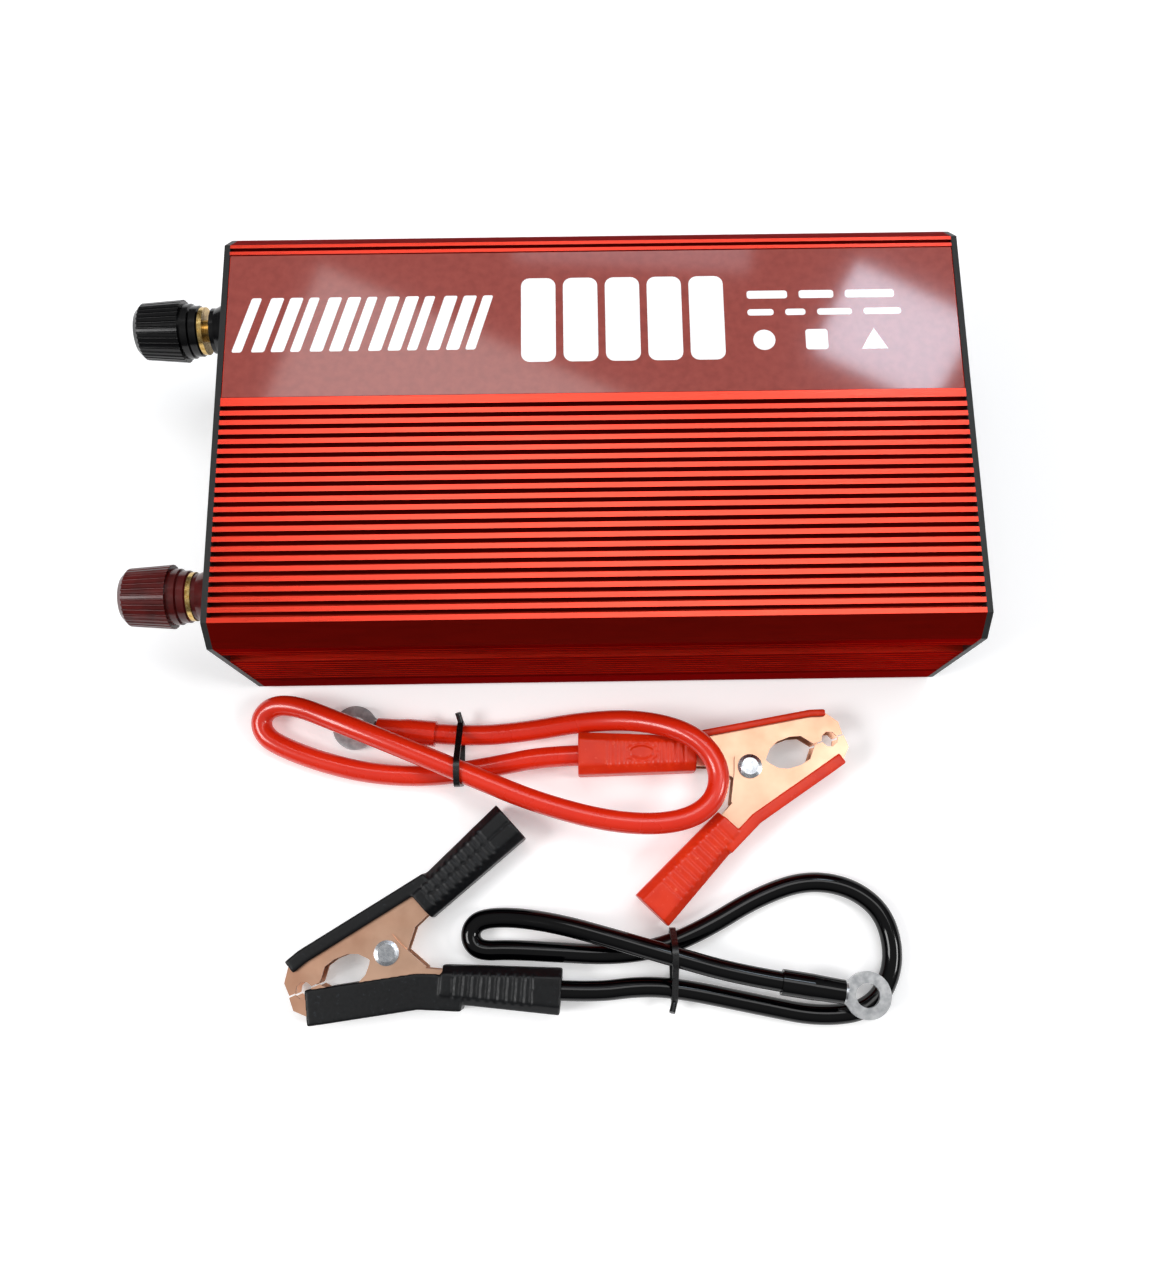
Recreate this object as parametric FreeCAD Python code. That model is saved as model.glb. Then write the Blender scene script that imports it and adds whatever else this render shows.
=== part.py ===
"""Power inverter with finned aluminium case, binding posts, fan and two battery leads.

Millimetres. The origin is the centre of the case's base, +X runs along the case towards
the mains socket, +Y towards the back and +Z up. The leads lie on the same surface as the
case, in front of it. Each function makes one sub-part, and main() writes them all.
"""
import FreeCAD
import Part

import math
import os

# ---------------------------------------------------------------- case
CASE_LENGTH = 256.0
CASE_WIDTH = 150.0
CASE_HEIGHT = 75.0
END_PLATE = 2.0
WALL = 3.0
SPLIT_Z = 17.5
BASE_RADIUS = 5.0
SHOULDER_WIDTH = 6.9
SHOULDER_DROP = 8.0

TOP_FINS = 22
TOP_FIN_PITCH = 3.43
TOP_FIN_WIDTH = 1.75
TOP_FIN_DEPTH = 4.2
PLAIN_STRIP = 3.0
LABEL_WIDTH = 53.9
LABEL_RECESS = 0.6
LABEL_THICK = 0.3
EDGE_GROOVE_DEPTH = 2.5

SIDE_FIN_PITCH = 3.4
SIDE_FIN_WIDTH = 1.7
SIDE_FIN_DEPTH = 2.0
LOWER_SIDE_FINS = 8
UPPER_SIDE_FINS = 2
CHANNEL_WIDTH = 10.0
CHANNEL_DEPTH = 5.0

SEAM_GROOVE = 1.2
TONGUE_THICK = 1.6
TONGUE_HEIGHT = 6.5
FIT_GAP = 0.1
BOARD_THICK = 1.6
BOARD_Z = 10.4
BOARD_EDGE = 2.3
BOARD_END_GAP = 4.0
BOARD_FAN_GAP = 1.0

BOSS_RADIUS = 3.4
SCREW_RADIUS = 1.5
SCREW_HEAD_RADIUS = 2.9
SCREW_HEAD_THICK = 1.9
SCREW_HOLE_GAP = 0.1
SCREW_LENGTH = 12.0
BOSS_INSET = 8.5
UPPER_BOSS_DROP = 9.0
LOWER_BOSS_Z = 5.8

# ---------------------------------------------------------------- binding posts
POST_SPACING = CASE_WIDTH - 48.0
POST_Z = 46.0
FLANGE_RADIUS = 12.0
FLANGE_NECK_RADIUS = 8.2
FLANGE_LENGTH = 11.4
STUD_RADIUS = 3.95
STUD_LENGTH = 20.0
STUD_TAIL = 20.0
POST_HOLE_GAP = 0.3
THREAD_PLAY = 0.05
WASHER_RADIUS = 8.6
WASHER_THICK = 1.6
KNOB_RADIUS = 11.3
KNOB_TIP_RADIUS = 10.2
KNOB_FLUTE_LENGTH = 16.8
KNOB_BAND_LENGTH = 3.4
KNOB_BAND_STEP = 1.4
KNOB_COLLAR_LENGTH = 3.0
KNOB_COLLAR_RADIUS = 9.2
KNOB_FLUTES = 36
KNOB_FLUTE_RADIUS = 0.45
INSERT_RADIUS = 5.6
INSERT_LENGTH = 14.0
BLACK_KNOB_OPEN = 2.5
LOCK_NUT_FLATS = 13.0
LOCK_NUT_THICK = 5.0
BUS_BAR_THICK = 2.0
BUS_BAR_WIDTH = 14.0

# ---------------------------------------------------------------- fan
FAN_SIZE = 60.0
FAN_THICK = 15.0
FAN_SCREW_SPACING = FAN_SIZE - 10.0
FAN_BORE_RADIUS = 28.0
FAN_HUB_RADIUS = 11.5
FAN_BLADES = 7
FAN_BLADE_RADIUS = 27.0
FAN_BLADE_THICK = 1.4
FAN_BLADE_PITCH = 35.0
FAN_Z = CASE_HEIGHT / 2
GUARD_WIRE = 1.6
GUARD_RINGS = (10.0, 18.0, 26.0)

# ---------------------------------------------------------------- output end
SOCKET_SIZE = 46.0
SOCKET_FLANGE = 3.0
SOCKET_BODY = 40.0
SOCKET_DEPTH = 22.0
SOCKET_Y = 34.0
SOCKET_Z = 38.0
PANEL_GAP = 0.3
ROCKER_WIDTH = 20.0
ROCKER_HEIGHT = 28.0
ROCKER_Y = -44.0
ROCKER_Z = 38.0
ROCKER_FLANGE = 2.0
ROCKER_DEPTH = 18.0
ROCKER_WALL = 2.2
ROCKER_TILT = 8.0
ROCKER_THICK = 9.0
ROCKER_PROUD = 2.0
ROCKER_GAP = 0.5
USB_Y = -12.0
USB_Z = 32.0
USB_WIDTH = 17.0
USB_HEIGHT = 9.0
USB_DEPTH = 16.0
LIGHT_RADIUS = 2.4
LIGHT_SPACING = 12.0
LIGHT_Z = 52.0
LIGHT_PROUD = 1.6
LIGHT_DEPTH = 6.0

# ---------------------------------------------------------------- electronics
CORE_SIZE = (36.0, 42.0, 40.0)
CORE_SPACING = 50.0
CORE_X = -12.0
CORE_LEG = 12.0
CORE_YOKE = 9.0
COIL_WALL = 5.0
INPUT_CAP_RADIUS = 8.0
INPUT_CAP_HEIGHT = 26.0
INPUT_CAPS = 5
INPUT_CAP_PITCH = 19.0
INPUT_CAP_X = -72.0
BUS_CAP_RADIUS = 12.5
BUS_CAP_HEIGHT = 40.0
BUS_CAP_X = 52.0
BUS_CAP_PITCH = 30.0
FET_WIDTH = 10.2
FET_HEIGHT = 15.5
FET_THICK = 4.4
FET_PITCH = 15.0
FETS_PER_BANK = 5
BAR_HEIGHT = 9.0
BAR_THICK = 3.0
CHANNEL_SCREW_SPACING = 46.0
FRONT_BANK_X = 46.0
BACK_BANK_X = -46.0
FUSE_SIZE = (4.5, 19.0, 14.0)
FUSES = 4
FUSE_PITCH = 9.0
FUSE_X = -98.0
CHOKE_RADIUS = 16.0
CHOKE_HOLE = 8.0
CHOKE_THICK = 14.0
CHOKE_X = 84.0
CHOKE_Y = 24.0
CARD_LENGTH = 44.0
CARD_HEIGHT = 38.0
CARD_X = 89.0
CARD_Y = -22.0

# ---------------------------------------------------------------- battery leads
CLAMP_MID_Z = 7.4
SHEET = 1.0
INNER_CHEEK = 4.6
CHEEK_GAP = 0.2
RIVET_RADIUS = 2.5
RIVET_HEAD_RADIUS = 4.4
RIVET_HEAD_THICK = 1.1
SPRING_OUTER = 6.2
SPRING_WIRE = 1.6
BOOT_WALL = 1.0
BOOT_HALF_THICK = 7.4
BOOT_START_WIDTH = 13.0
BOOT_END_WIDTH = 16.0
BOOT_ROUND = 3.0
BOOT_LIP_RUN = 8.0
BOOT_HOLE_DEPTH = 14.0
CABLE_GAP = 0.15
CABLE_IN_SLEEVE = 9.0
CABLE_BEND_SHARE = 0.45

RED_CABLE_RADIUS = 3.9
BLACK_CABLE_RADIUS = 3.6
RING_HOLE_RADIUS = 4.2
RING_RADIUS = 8.3
RING_THICK = 2.0
BARREL_RADIUS = 3.4
BARREL_LENGTH = 14.0
SLEEVE_WALL = 0.8
SLEEVE_LENGTH = 22.0
TIE_THICK = 1.0
TIE_WIDTH = 2.2
TIE_GAP = 0.3
TIE_KNOB = 4.0

# Cable routes, from inside the boot of the fixed grip to inside the terminal's sleeve.
RED_JAW_ANGLE = 18.0
# Grips, fixed then moving: how far each reaches in over its jaw, and how thick it is behind it.
RED_COVERS = ((1.6, 1.0), (2.8, 1.6))
RED_RIVET = (55.7, -109.1)
RED_ROUTE = (
    (5.8, -103.4, 7.4),
    (-17.5, -103.1, 7.4),
    (-40.2, -107.2, 5.4),
    (-62.6, -110.4, 5.4),
    (-85.1, -108.8, 4.4),
    (-104.0, -103.8, 4.2),
    (-118.0, -98.3, 4.2),
    (-125.0, -94.0, 4.2),
    (-127.0, -87.5, 4.6),
    (-122.0, -82.6, 6.0),
    (-112.0, -83.5, 8.6),
    (-96.9, -90.0, 13.0),
    (-74.0, -99.6, 15.6),
    (-47.7, -110.8, 16.6),
    (-21.6, -122.0, 17.8),
    (6.0, -129.6, 19.2),
    (28.5, -130.0, 19.4),
    (41.8, -123.0, 19.4),
    (44.4, -110.0, 19.4),
    (35.5, -98.0, 19.4),
    (17.0, -91.2, 12.6),
    (-4.0, -90.4, 6.2),
    (-27.0, -94.0, 5.2),
    (-48.5, -95.5, 5.4),
    (-69.5, -93.4, 5.4),
)

BLACK_JAW_ANGLE = 203.0
BLACK_COVERS = ((9.0, 3.4), (3.2, 1.8))
BLACK_RIVET = (-75.6, -173.3)
BLACK_ROUTE = (
    (-27.2, -186.35, 7.4),
    (-4.2, -188.2, 7.4),
    (14.0, -186.2, 5.4),
    (29.0, -187.4, 5.0),
    (56.8, -193.4, 3.9),
    (78.0, -197.8, 3.8),
    (97.0, -195.4, 3.8),
    (106.0, -180.6, 3.8),
    (104.0, -163.0, 3.8),
    (92.6, -152.8, 3.8),
    (76.0, -149.8, 3.8),
    (58.0, -155.4, 3.8),
    (38.0, -166.6, 4.9),
    (22.0, -173.2, 5.0),
    (4.0, -175.4, 4.6),
    (-15.0, -174.2, 4.0),
    (-33.0, -173.0, 3.9),
    (-43.2, -173.3, 3.9),
    (-46.9, -169.9, 3.9),
    (-46.7, -165.0, 3.9),
    (-42.6, -161.9, 4.2),
    (-31.0, -161.6, 5.8),
    (-14.5, -164.2, 9.6),
    (6.0, -170.0, 13.9),
    (26.0, -176.0, 14.4),
    (50.0, -182.8, 12.8),
    (72.3, -186.6, 12.8),
)
RED_TIE_X = -51.0
RED_TIE_STRANDS = ((-95.0, 5.4), (-108.8, 5.4), (-110.3, 16.4), (-108.6, 16.4))
BLACK_TIE_X = 26.0
BLACK_TIE_STRANDS = ((-187.3, 5.1), (-176.8, 14.4), (-175.2, 14.4), (-170.9, 5.1))


# ================================================================ helpers
def vec(x, y, z):
    return FreeCAD.Vector(x, y, z)


def box(x0, x1, y0, y1, z0, z1):
    """Box between two corners."""
    return Part.makeBox(x1 - x0, y1 - y0, z1 - z0, vec(x0, y0, z0))


def rod(radius, length, start, direction):
    """Cylinder from a start point along a direction."""
    return Part.makeCylinder(radius, length, start, direction)


def prism(points, push):
    """Polygon of 3-D points pushed along a vector."""
    face = Part.Face(Part.makePolygon([vec(*p) for p in points] + [vec(*points[0])]))
    return face.extrude(push)


def along_x(points, x0, x1):
    """Polygon of (y, z) points extruded from x0 to x1."""
    return prism([(x0, y, z) for y, z in points], vec(x1 - x0, 0, 0))


def flat_plate(points, z0, z1):
    """Polygon of (x, y) points extruded from z0 to z1."""
    return prism([(x, y, z0) for x, y in points], vec(0, 0, z1 - z0))


def turned(profile, start, direction):
    """Solid turned about an axis: profile is (distance along, radius) pairs."""
    points = [vec(r, 0, a) for a, r in profile]
    face = Part.Face(Part.makePolygon(points + [points[0]]))
    solid = face.revolve(vec(0, 0, 0), vec(0, 0, 1), 360)
    solid.Placement = FreeCAD.Placement(start, FreeCAD.Rotation(vec(0, 0, 1), direction))
    return solid


def fused(shapes):
    """One clean solid from several that touch."""
    whole = shapes[0].multiFuse(shapes[1:])
    return whole.removeSplitter()


def mirrored_y(shape):
    return shape.mirror(vec(0, 0, 0), vec(0, 1, 0))


def save(name, shapes):
    """Write one node, a single solid or a group of separate solids."""
    group = shapes if isinstance(shapes, list) else [shapes]
    solids = [solid for shape in group for solid in shape.Solids]
    shape = solids[0] if len(solids) == 1 else Part.makeCompound(solids)
    shape.exportStep(os.path.join("parts", name + ".step"))
    print(name, len(solids), round(sum(s.Volume for s in solids), 1), shape.isValid())


# ================================================================ case
def half_width():
    return CASE_WIDTH / 2


def shell_end():
    return CASE_LENGTH / 2 - END_PLATE


def inner_half():
    """Half the clear width between the side walls."""
    return half_width() - SIDE_FIN_DEPTH - WALL


def channel_z():
    """Bottom of the screw channel in each side wall."""
    return SPLIT_Z + LOWER_SIDE_FINS * SIDE_FIN_PITCH + SIDE_FIN_PITCH


def side_outline():
    """Finned side from the split up to the shoulder, as (outset, z) pairs."""
    out = half_width()
    root = out - SIDE_FIN_DEPTH
    points = [(out - SEAM_GROOVE, SPLIT_Z), (out, SPLIT_Z + SEAM_GROOVE)]
    for i in range(LOWER_SIDE_FINS):
        z = SPLIT_Z + SEAM_GROOVE + SIDE_FIN_WIDTH + i * SIDE_FIN_PITCH
        points += [(out, z), (root, z), (root, z + SIDE_FIN_WIDTH), (out, z + SIDE_FIN_WIDTH)]
    z = channel_z()
    floor = out - CHANNEL_DEPTH
    points += [(out, z), (floor, z), (floor, z + CHANNEL_WIDTH), (out, z + CHANNEL_WIDTH)]
    for i in range(UPPER_SIDE_FINS):
        z = channel_z() + CHANNEL_WIDTH + SIDE_FIN_WIDTH * 0.6 + i * SIDE_FIN_PITCH * 0.8
        gap = SIDE_FIN_WIDTH * 0.6
        points += [(out, z), (root, z), (root, z + gap), (out, z + gap)]
    points.append((out, CASE_HEIGHT - SHOULDER_DROP))
    return points


def top_edge():
    """Distance of the top's edge from the middle."""
    return half_width() - SHOULDER_WIDTH


def label_front():
    """Front edge of the label's recess."""
    return -top_edge() + TOP_FINS * TOP_FIN_PITCH + PLAIN_STRIP


def top_outline():
    """Top from the front shoulder to the back one, as (y, z) pairs."""
    y = -top_edge()
    points = [(y, CASE_HEIGHT)]
    for _ in range(TOP_FINS):
        y += TOP_FIN_WIDTH
        points += [(y, CASE_HEIGHT), (y, CASE_HEIGHT - TOP_FIN_DEPTH)]
        y += TOP_FIN_PITCH - TOP_FIN_WIDTH
        points += [(y, CASE_HEIGHT - TOP_FIN_DEPTH), (y, CASE_HEIGHT)]
    y = label_front()
    points += [(y, CASE_HEIGHT), (y, CASE_HEIGHT - LABEL_RECESS)]
    y += LABEL_WIDTH
    points += [(y, CASE_HEIGHT - LABEL_RECESS), (y, CASE_HEIGHT)]
    groove = (top_edge() - y) / 3
    points += [(y + groove, CASE_HEIGHT), (y + groove, CASE_HEIGHT - EDGE_GROOVE_DEPTH)]
    points += [(y + 2 * groove, CASE_HEIGHT - EDGE_GROOVE_DEPTH), (y + 2 * groove, CASE_HEIGHT)]
    points.append((top_edge(), CASE_HEIGHT))
    return points


def ceiling_z():
    return CASE_HEIGHT - TOP_FIN_DEPTH - WALL


def inner_side():
    """Inside of one side wall, from the ceiling down to the split."""
    wide = inner_half()
    narrow = half_width() - CHANNEL_DEPTH - WALL
    low = channel_z() - WALL
    high = channel_z() + CHANNEL_WIDTH + WALL
    top = ceiling_z()
    return [(wide - WALL, top), (narrow, top - WALL), (narrow, high), (narrow, low), (wide, low - WALL),
            (wide, SPLIT_Z)]


def boss_y():
    return half_width() - BOSS_INSET - BOSS_RADIUS


def upper_boss_z():
    return CASE_HEIGHT - UPPER_BOSS_DROP


def boss_centres():
    """Screw channels (y, z): two under the top and two on the floor."""
    upper = [(y, upper_boss_z()) for y in (-boss_y(), boss_y())]
    lower = [(y, LOWER_BOSS_Z) for y in (-boss_y(), boss_y())]
    return upper, lower


def with_bosses(shell, centres):
    """Add round screw channels along the shell and bore them through."""
    end = shell_end()
    ribs = [rod(BOSS_RADIUS, 2 * end, vec(-end, y, z), vec(1, 0, 0)) for y, z in centres]
    whole = fused([shell] + ribs)
    bore = SCREW_RADIUS + SCREW_HOLE_GAP
    holes = [rod(bore, 2 * end, vec(-end, y, z), vec(1, 0, 0)) for y, z in centres]
    return whole.cut(Part.makeCompound(holes))


def channel_screw_points():
    """Screws (x, side) in the channels: one pair each side."""
    half = CHANNEL_SCREW_SPACING / 2
    front = [(FRONT_BANK_X - half, -1), (FRONT_BANK_X + half, -1)]
    back = [(BACK_BANK_X - half, 1), (BACK_BANK_X + half, 1)]
    return front + back


def upper_shell():
    left = [(-out, z) for out, z in side_outline()]
    right = [(out, z) for out, z in reversed(side_outline())]
    outside = left + top_outline() + right
    inside = inner_side()
    hollow = inside[::-1]
    outline = outside + [(y, z) for y, z in hollow] + [(-y, z) for y, z in inside]
    shell = along_x(outline, -shell_end(), shell_end())
    shell = with_bosses(shell, boss_centres()[0])
    z = channel_z() + CHANNEL_WIDTH / 2
    bore = SCREW_RADIUS + SCREW_HOLE_GAP
    holes = [rod(bore, 2 * WALL + CHANNEL_DEPTH, vec(x, side * half_width(), z), vec(0, -side, 0))
             for x, side in channel_screw_points()]
    return shell.cut(Part.makeCompound(holes))


def base_arc(out):
    """Rounded bottom edge of the case, from the flat base up to just short of the side."""
    arc = []
    for step in range(6):
        a = math.radians(90 * step / 6)
        arc.append((out - BASE_RADIUS + BASE_RADIUS * math.sin(a), BASE_RADIUS - BASE_RADIUS * math.cos(a)))
    return arc


def lower_half_outline():
    """Right half of the tray, as (y, z) pairs from the middle of the base outwards."""
    out = half_width()
    tongue = inner_half() - FIT_GAP
    inside = tongue - TONGUE_THICK
    slot_low = BOARD_Z - FIT_GAP
    slot_high = BOARD_Z + BOARD_THICK + FIT_GAP
    slot_deep = inside + BOARD_EDGE + FIT_GAP
    return base_arc(out) + [
        (out, BASE_RADIUS), (out, SPLIT_Z - SEAM_GROOVE), (out - SEAM_GROOVE, SPLIT_Z), (tongue, SPLIT_Z),
        (tongue, SPLIT_Z + TONGUE_HEIGHT), (inside, SPLIT_Z + TONGUE_HEIGHT), (inside, slot_high),
        (slot_deep, slot_high), (slot_deep, slot_low), (inside, slot_low), (inside, WALL)]


def lower_shell():
    right = lower_half_outline()
    left = [(-y, z) for y, z in reversed(right)]
    shell = along_x(left + right, -shell_end(), shell_end())
    return with_bosses(shell, boss_centres()[1])


def end_outline():
    """Outline of the end plates, which follow the case without its fins."""
    out = half_width()
    z = CASE_HEIGHT - SHOULDER_DROP
    right = [(out, BASE_RADIUS), (out, z), (top_edge(), CASE_HEIGHT)]
    half = base_arc(out) + right
    return half + [(-y, z) for y, z in reversed(half)]


def drilled_end(side, cuts):
    """End plate on one side (-1 or 1) with its screw holes and other openings."""
    x0 = side * shell_end()
    x1 = side * CASE_LENGTH / 2
    plate = along_x(end_outline(), min(x0, x1), max(x0, x1))
    bore = SCREW_RADIUS + SCREW_HOLE_GAP
    upper, lower = boss_centres()
    holes = [rod(bore, END_PLATE, vec(min(x0, x1), y, z), vec(1, 0, 0)) for y, z in upper + lower]
    return plate.cut(Part.makeCompound(holes + cuts))


def post_points():
    """Distance of each post from the middle: black at the back, red at the front."""
    return {"black": POST_SPACING / 2, "red": -POST_SPACING / 2}


def fan_screw_points():
    half = FAN_SCREW_SPACING / 2
    return [(y, FAN_Z + z) for y in (-half, half) for z in (-half, half)]


def terminal_end_plate():
    x = -CASE_LENGTH / 2
    posts = [rod(STUD_RADIUS + POST_HOLE_GAP, END_PLATE, vec(x, y, POST_Z), vec(1, 0, 0))
             for y in post_points().values()]
    air = rod(FAN_BORE_RADIUS, END_PLATE, vec(x, 0, FAN_Z), vec(1, 0, 0))
    screws = [rod(SCREW_RADIUS + SCREW_HOLE_GAP, END_PLATE, vec(x, y, z), vec(1, 0, 0))
              for y, z in fan_screw_points()]
    return drilled_end(-1, posts + [air] + screws)


def socket_end_plate():
    x = shell_end()
    x1 = CASE_LENGTH / 2
    half = SOCKET_BODY / 2 + PANEL_GAP
    socket = box(x, x1, SOCKET_Y - half, SOCKET_Y + half, SOCKET_Z - half, SOCKET_Z + half)
    wide = ROCKER_WIDTH / 2 + PANEL_GAP
    tall = ROCKER_HEIGHT / 2 + PANEL_GAP
    rocker = box(x, x1, ROCKER_Y - wide, ROCKER_Y + wide, ROCKER_Z - tall, ROCKER_Z + tall)
    uw = USB_WIDTH / 2 + PANEL_GAP
    uh = USB_HEIGHT / 2 + PANEL_GAP
    usb = box(x, x1, USB_Y - uw, USB_Y + uw, USB_Z - uh, USB_Z + uh)
    lights = [rod(LIGHT_RADIUS + PANEL_GAP, END_PLATE, vec(x, y, LIGHT_Z), vec(1, 0, 0))
              for y in light_points()]
    return drilled_end(1, [socket, rocker, usb] + lights)


def pan_screw(seat, direction, length):
    """Pan-head screw: the head stands on seat and the shank runs the other way."""
    head = turned([(0, 0), (0, SCREW_HEAD_RADIUS), (SCREW_HEAD_THICK * 0.45, SCREW_HEAD_RADIUS),
                   (SCREW_HEAD_THICK, SCREW_HEAD_RADIUS * 0.6), (SCREW_HEAD_THICK, 0)], seat, direction)
    shank = rod(SCREW_RADIUS, length, seat, direction * -1)
    return fused([head, shank])


def end_plate_screws():
    upper, lower = boss_centres()
    x = CASE_LENGTH / 2
    return [pan_screw(vec(side * x, y, z), vec(side, 0, 0), SCREW_LENGTH)
            for side in (-1, 1) for y, z in upper + lower]


def channel_screws():
    z = channel_z() + CHANNEL_WIDTH / 2
    y = half_width() - CHANNEL_DEPTH
    return [pan_screw(vec(x, side * y, z), vec(0, side, 0), WALL + FET_THICK + BAR_THICK + FIT_GAP)
            for x, side in channel_screw_points()]


def top_label():
    y = label_front() + PANEL_GAP
    z = CASE_HEIGHT - LABEL_RECESS
    end = shell_end() - PANEL_GAP
    return box(-end, end, y, y + LABEL_WIDTH - 2 * PANEL_GAP, z, z + LABEL_THICK)


# ================================================================ binding posts
def post_face():
    return -CASE_LENGTH / 2


def flange_end():
    """X of the flange's outer face, where a terminal is clamped."""
    return post_face() - FLANGE_LENGTH


def post_flange(y):
    """Insulating cone between the panel and the knob, with the stud's hole."""
    cone = turned([(0, 0), (0, FLANGE_RADIUS), (1.5, FLANGE_RADIUS),
                   (FLANGE_LENGTH - 1.5, FLANGE_NECK_RADIUS), (FLANGE_LENGTH, FLANGE_NECK_RADIUS),
                   (FLANGE_LENGTH, 0)], vec(post_face(), y, POST_Z), vec(-1, 0, 0))
    hole = rod(STUD_RADIUS + THREAD_PLAY, FLANGE_LENGTH, vec(post_face(), y, POST_Z), vec(-1, 0, 0))
    return cone.cut(hole)


def post_stud(y):
    start = post_face() - FLANGE_LENGTH - STUD_LENGTH
    tail = END_PLATE + STUD_TAIL
    return rod(STUD_RADIUS, STUD_LENGTH + FLANGE_LENGTH + tail, vec(start, y, POST_Z), vec(1, 0, 0))


def post_washer(y, opening):
    start = vec(flange_end() - opening, y, POST_Z)
    disc = rod(WASHER_RADIUS, WASHER_THICK, start, vec(-1, 0, 0))
    return disc.cut(rod(STUD_RADIUS + THREAD_PLAY, WASHER_THICK, start, vec(-1, 0, 0)))


def knob_length():
    return KNOB_COLLAR_LENGTH + KNOB_BAND_LENGTH + KNOB_FLUTE_LENGTH


def post_knob(y, opening):
    """Fluted knob, widest beside its smooth band, with a pocket for the brass insert."""
    start = vec(flange_end() - opening - WASHER_THICK, y, POST_Z)
    band = KNOB_COLLAR_LENGTH + KNOB_BAND_LENGTH
    length = knob_length()
    body = turned([(0, 0), (0, KNOB_COLLAR_RADIUS - 0.5), (0.5, KNOB_COLLAR_RADIUS),
                   (KNOB_COLLAR_LENGTH, KNOB_COLLAR_RADIUS),
                   (KNOB_COLLAR_LENGTH + 0.5, KNOB_RADIUS - KNOB_BAND_STEP),
                   (band, KNOB_RADIUS - KNOB_BAND_STEP), (band, KNOB_RADIUS), (length - 2, KNOB_TIP_RADIUS),
                   (length, KNOB_TIP_RADIUS - 2), (length, 0)], start, vec(-1, 0, 0))
    slope = math.atan2(KNOB_RADIUS - KNOB_TIP_RADIUS, KNOB_FLUTE_LENGTH - 2)
    flutes = []
    for i in range(KNOB_FLUTES):
        a = 2 * math.pi * i / KNOB_FLUTES
        out = vec(0, math.cos(a), math.sin(a))
        run = vec(-math.cos(slope), 0, 0) - out * math.sin(slope)
        foot = start + vec(-band, 0, 0) + out * KNOB_RADIUS
        flutes.append(rod(KNOB_FLUTE_RADIUS, KNOB_FLUTE_LENGTH + 2, foot, run))
    body = body.cut(Part.makeCompound(flutes))
    pocket = rod(INSERT_RADIUS, INSERT_LENGTH, start, vec(-1, 0, 0))
    deep = rod(STUD_RADIUS + POST_HOLE_GAP, STUD_LENGTH, start, vec(-1, 0, 0))
    return body.cut(Part.makeCompound([pocket, deep]))


def knob_insert(y, opening):
    start = vec(flange_end() - opening - WASHER_THICK, y, POST_Z)
    sleeve = rod(INSERT_RADIUS, INSERT_LENGTH, start, vec(-1, 0, 0))
    return sleeve.cut(rod(STUD_RADIUS + THREAD_PLAY, INSERT_LENGTH, start, vec(-1, 0, 0)))


def nut_points(y):
    radius = LOCK_NUT_FLATS / 2 / math.cos(math.pi / 6)
    turns = [math.pi * i / 3 for i in range(6)]
    return [(y + radius * math.cos(a), POST_Z + radius * math.sin(a)) for a in turns]


def post_lock_nuts():
    nuts = []
    x0 = shell_end() * -1
    for y in post_points().values():
        blank = along_x(nut_points(y), x0, x0 + LOCK_NUT_THICK)
        bore = rod(STUD_RADIUS + THREAD_PLAY, LOCK_NUT_THICK, vec(x0, y, POST_Z), vec(1, 0, 0))
        nuts.append(blank.cut(bore))
    return nuts


def bus_bar(y):
    """Copper strap from a stud down to the board, clamped behind the lock nut."""
    x0 = -shell_end() + LOCK_NUT_THICK
    half = BUS_BAR_WIDTH / 2
    foot = BOARD_Z + BOARD_THICK
    upright = box(x0, x0 + BUS_BAR_THICK, y - half, y + half, foot, POST_Z + half)
    toe = box(x0, x0 + BUS_BAR_WIDTH, y - half, y + half, foot, foot + BUS_BAR_THICK)
    return fused([upright, toe]).cut(
        rod(STUD_RADIUS + THREAD_PLAY, BUS_BAR_THICK, vec(x0, y, POST_Z), vec(1, 0, 0)))


# ================================================================ fan
def fan_x():
    """X of the fan's outer face, against the inside of the end plate."""
    return -shell_end()


def fan_frame():
    half = FAN_SIZE / 2
    x0 = fan_x()
    x1 = x0 + FAN_THICK
    block = box(x0, x1, -half, half, FAN_Z - half, FAN_Z + half)
    holes = [rod(FAN_BORE_RADIUS, FAN_THICK, vec(x0, 0, FAN_Z), vec(1, 0, 0))]
    holes += [rod(SCREW_RADIUS + SCREW_HOLE_GAP, FAN_THICK, vec(x0, y, z), vec(1, 0, 0))
              for y, z in fan_screw_points()]
    ring = block.cut(Part.makeCompound(holes))
    back = x1 - 2.0
    hub = rod(FAN_HUB_RADIUS, 2.0, vec(back, 0, FAN_Z), vec(1, 0, 0))
    arms = []
    for i in range(3):
        arm = box(back, x1, FAN_HUB_RADIUS - 2, FAN_BORE_RADIUS + 1, FAN_Z - 1.5, FAN_Z + 1.5)
        arm.rotate(vec(0, 0, FAN_Z), vec(1, 0, 0), 30 + 120 * i)
        arms.append(arm)
    shaft = rod(1.5, FAN_THICK - 4, vec(x0 + 2, 0, FAN_Z), vec(1, 0, 0))
    return fused([ring, hub, shaft] + arms)


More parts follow.
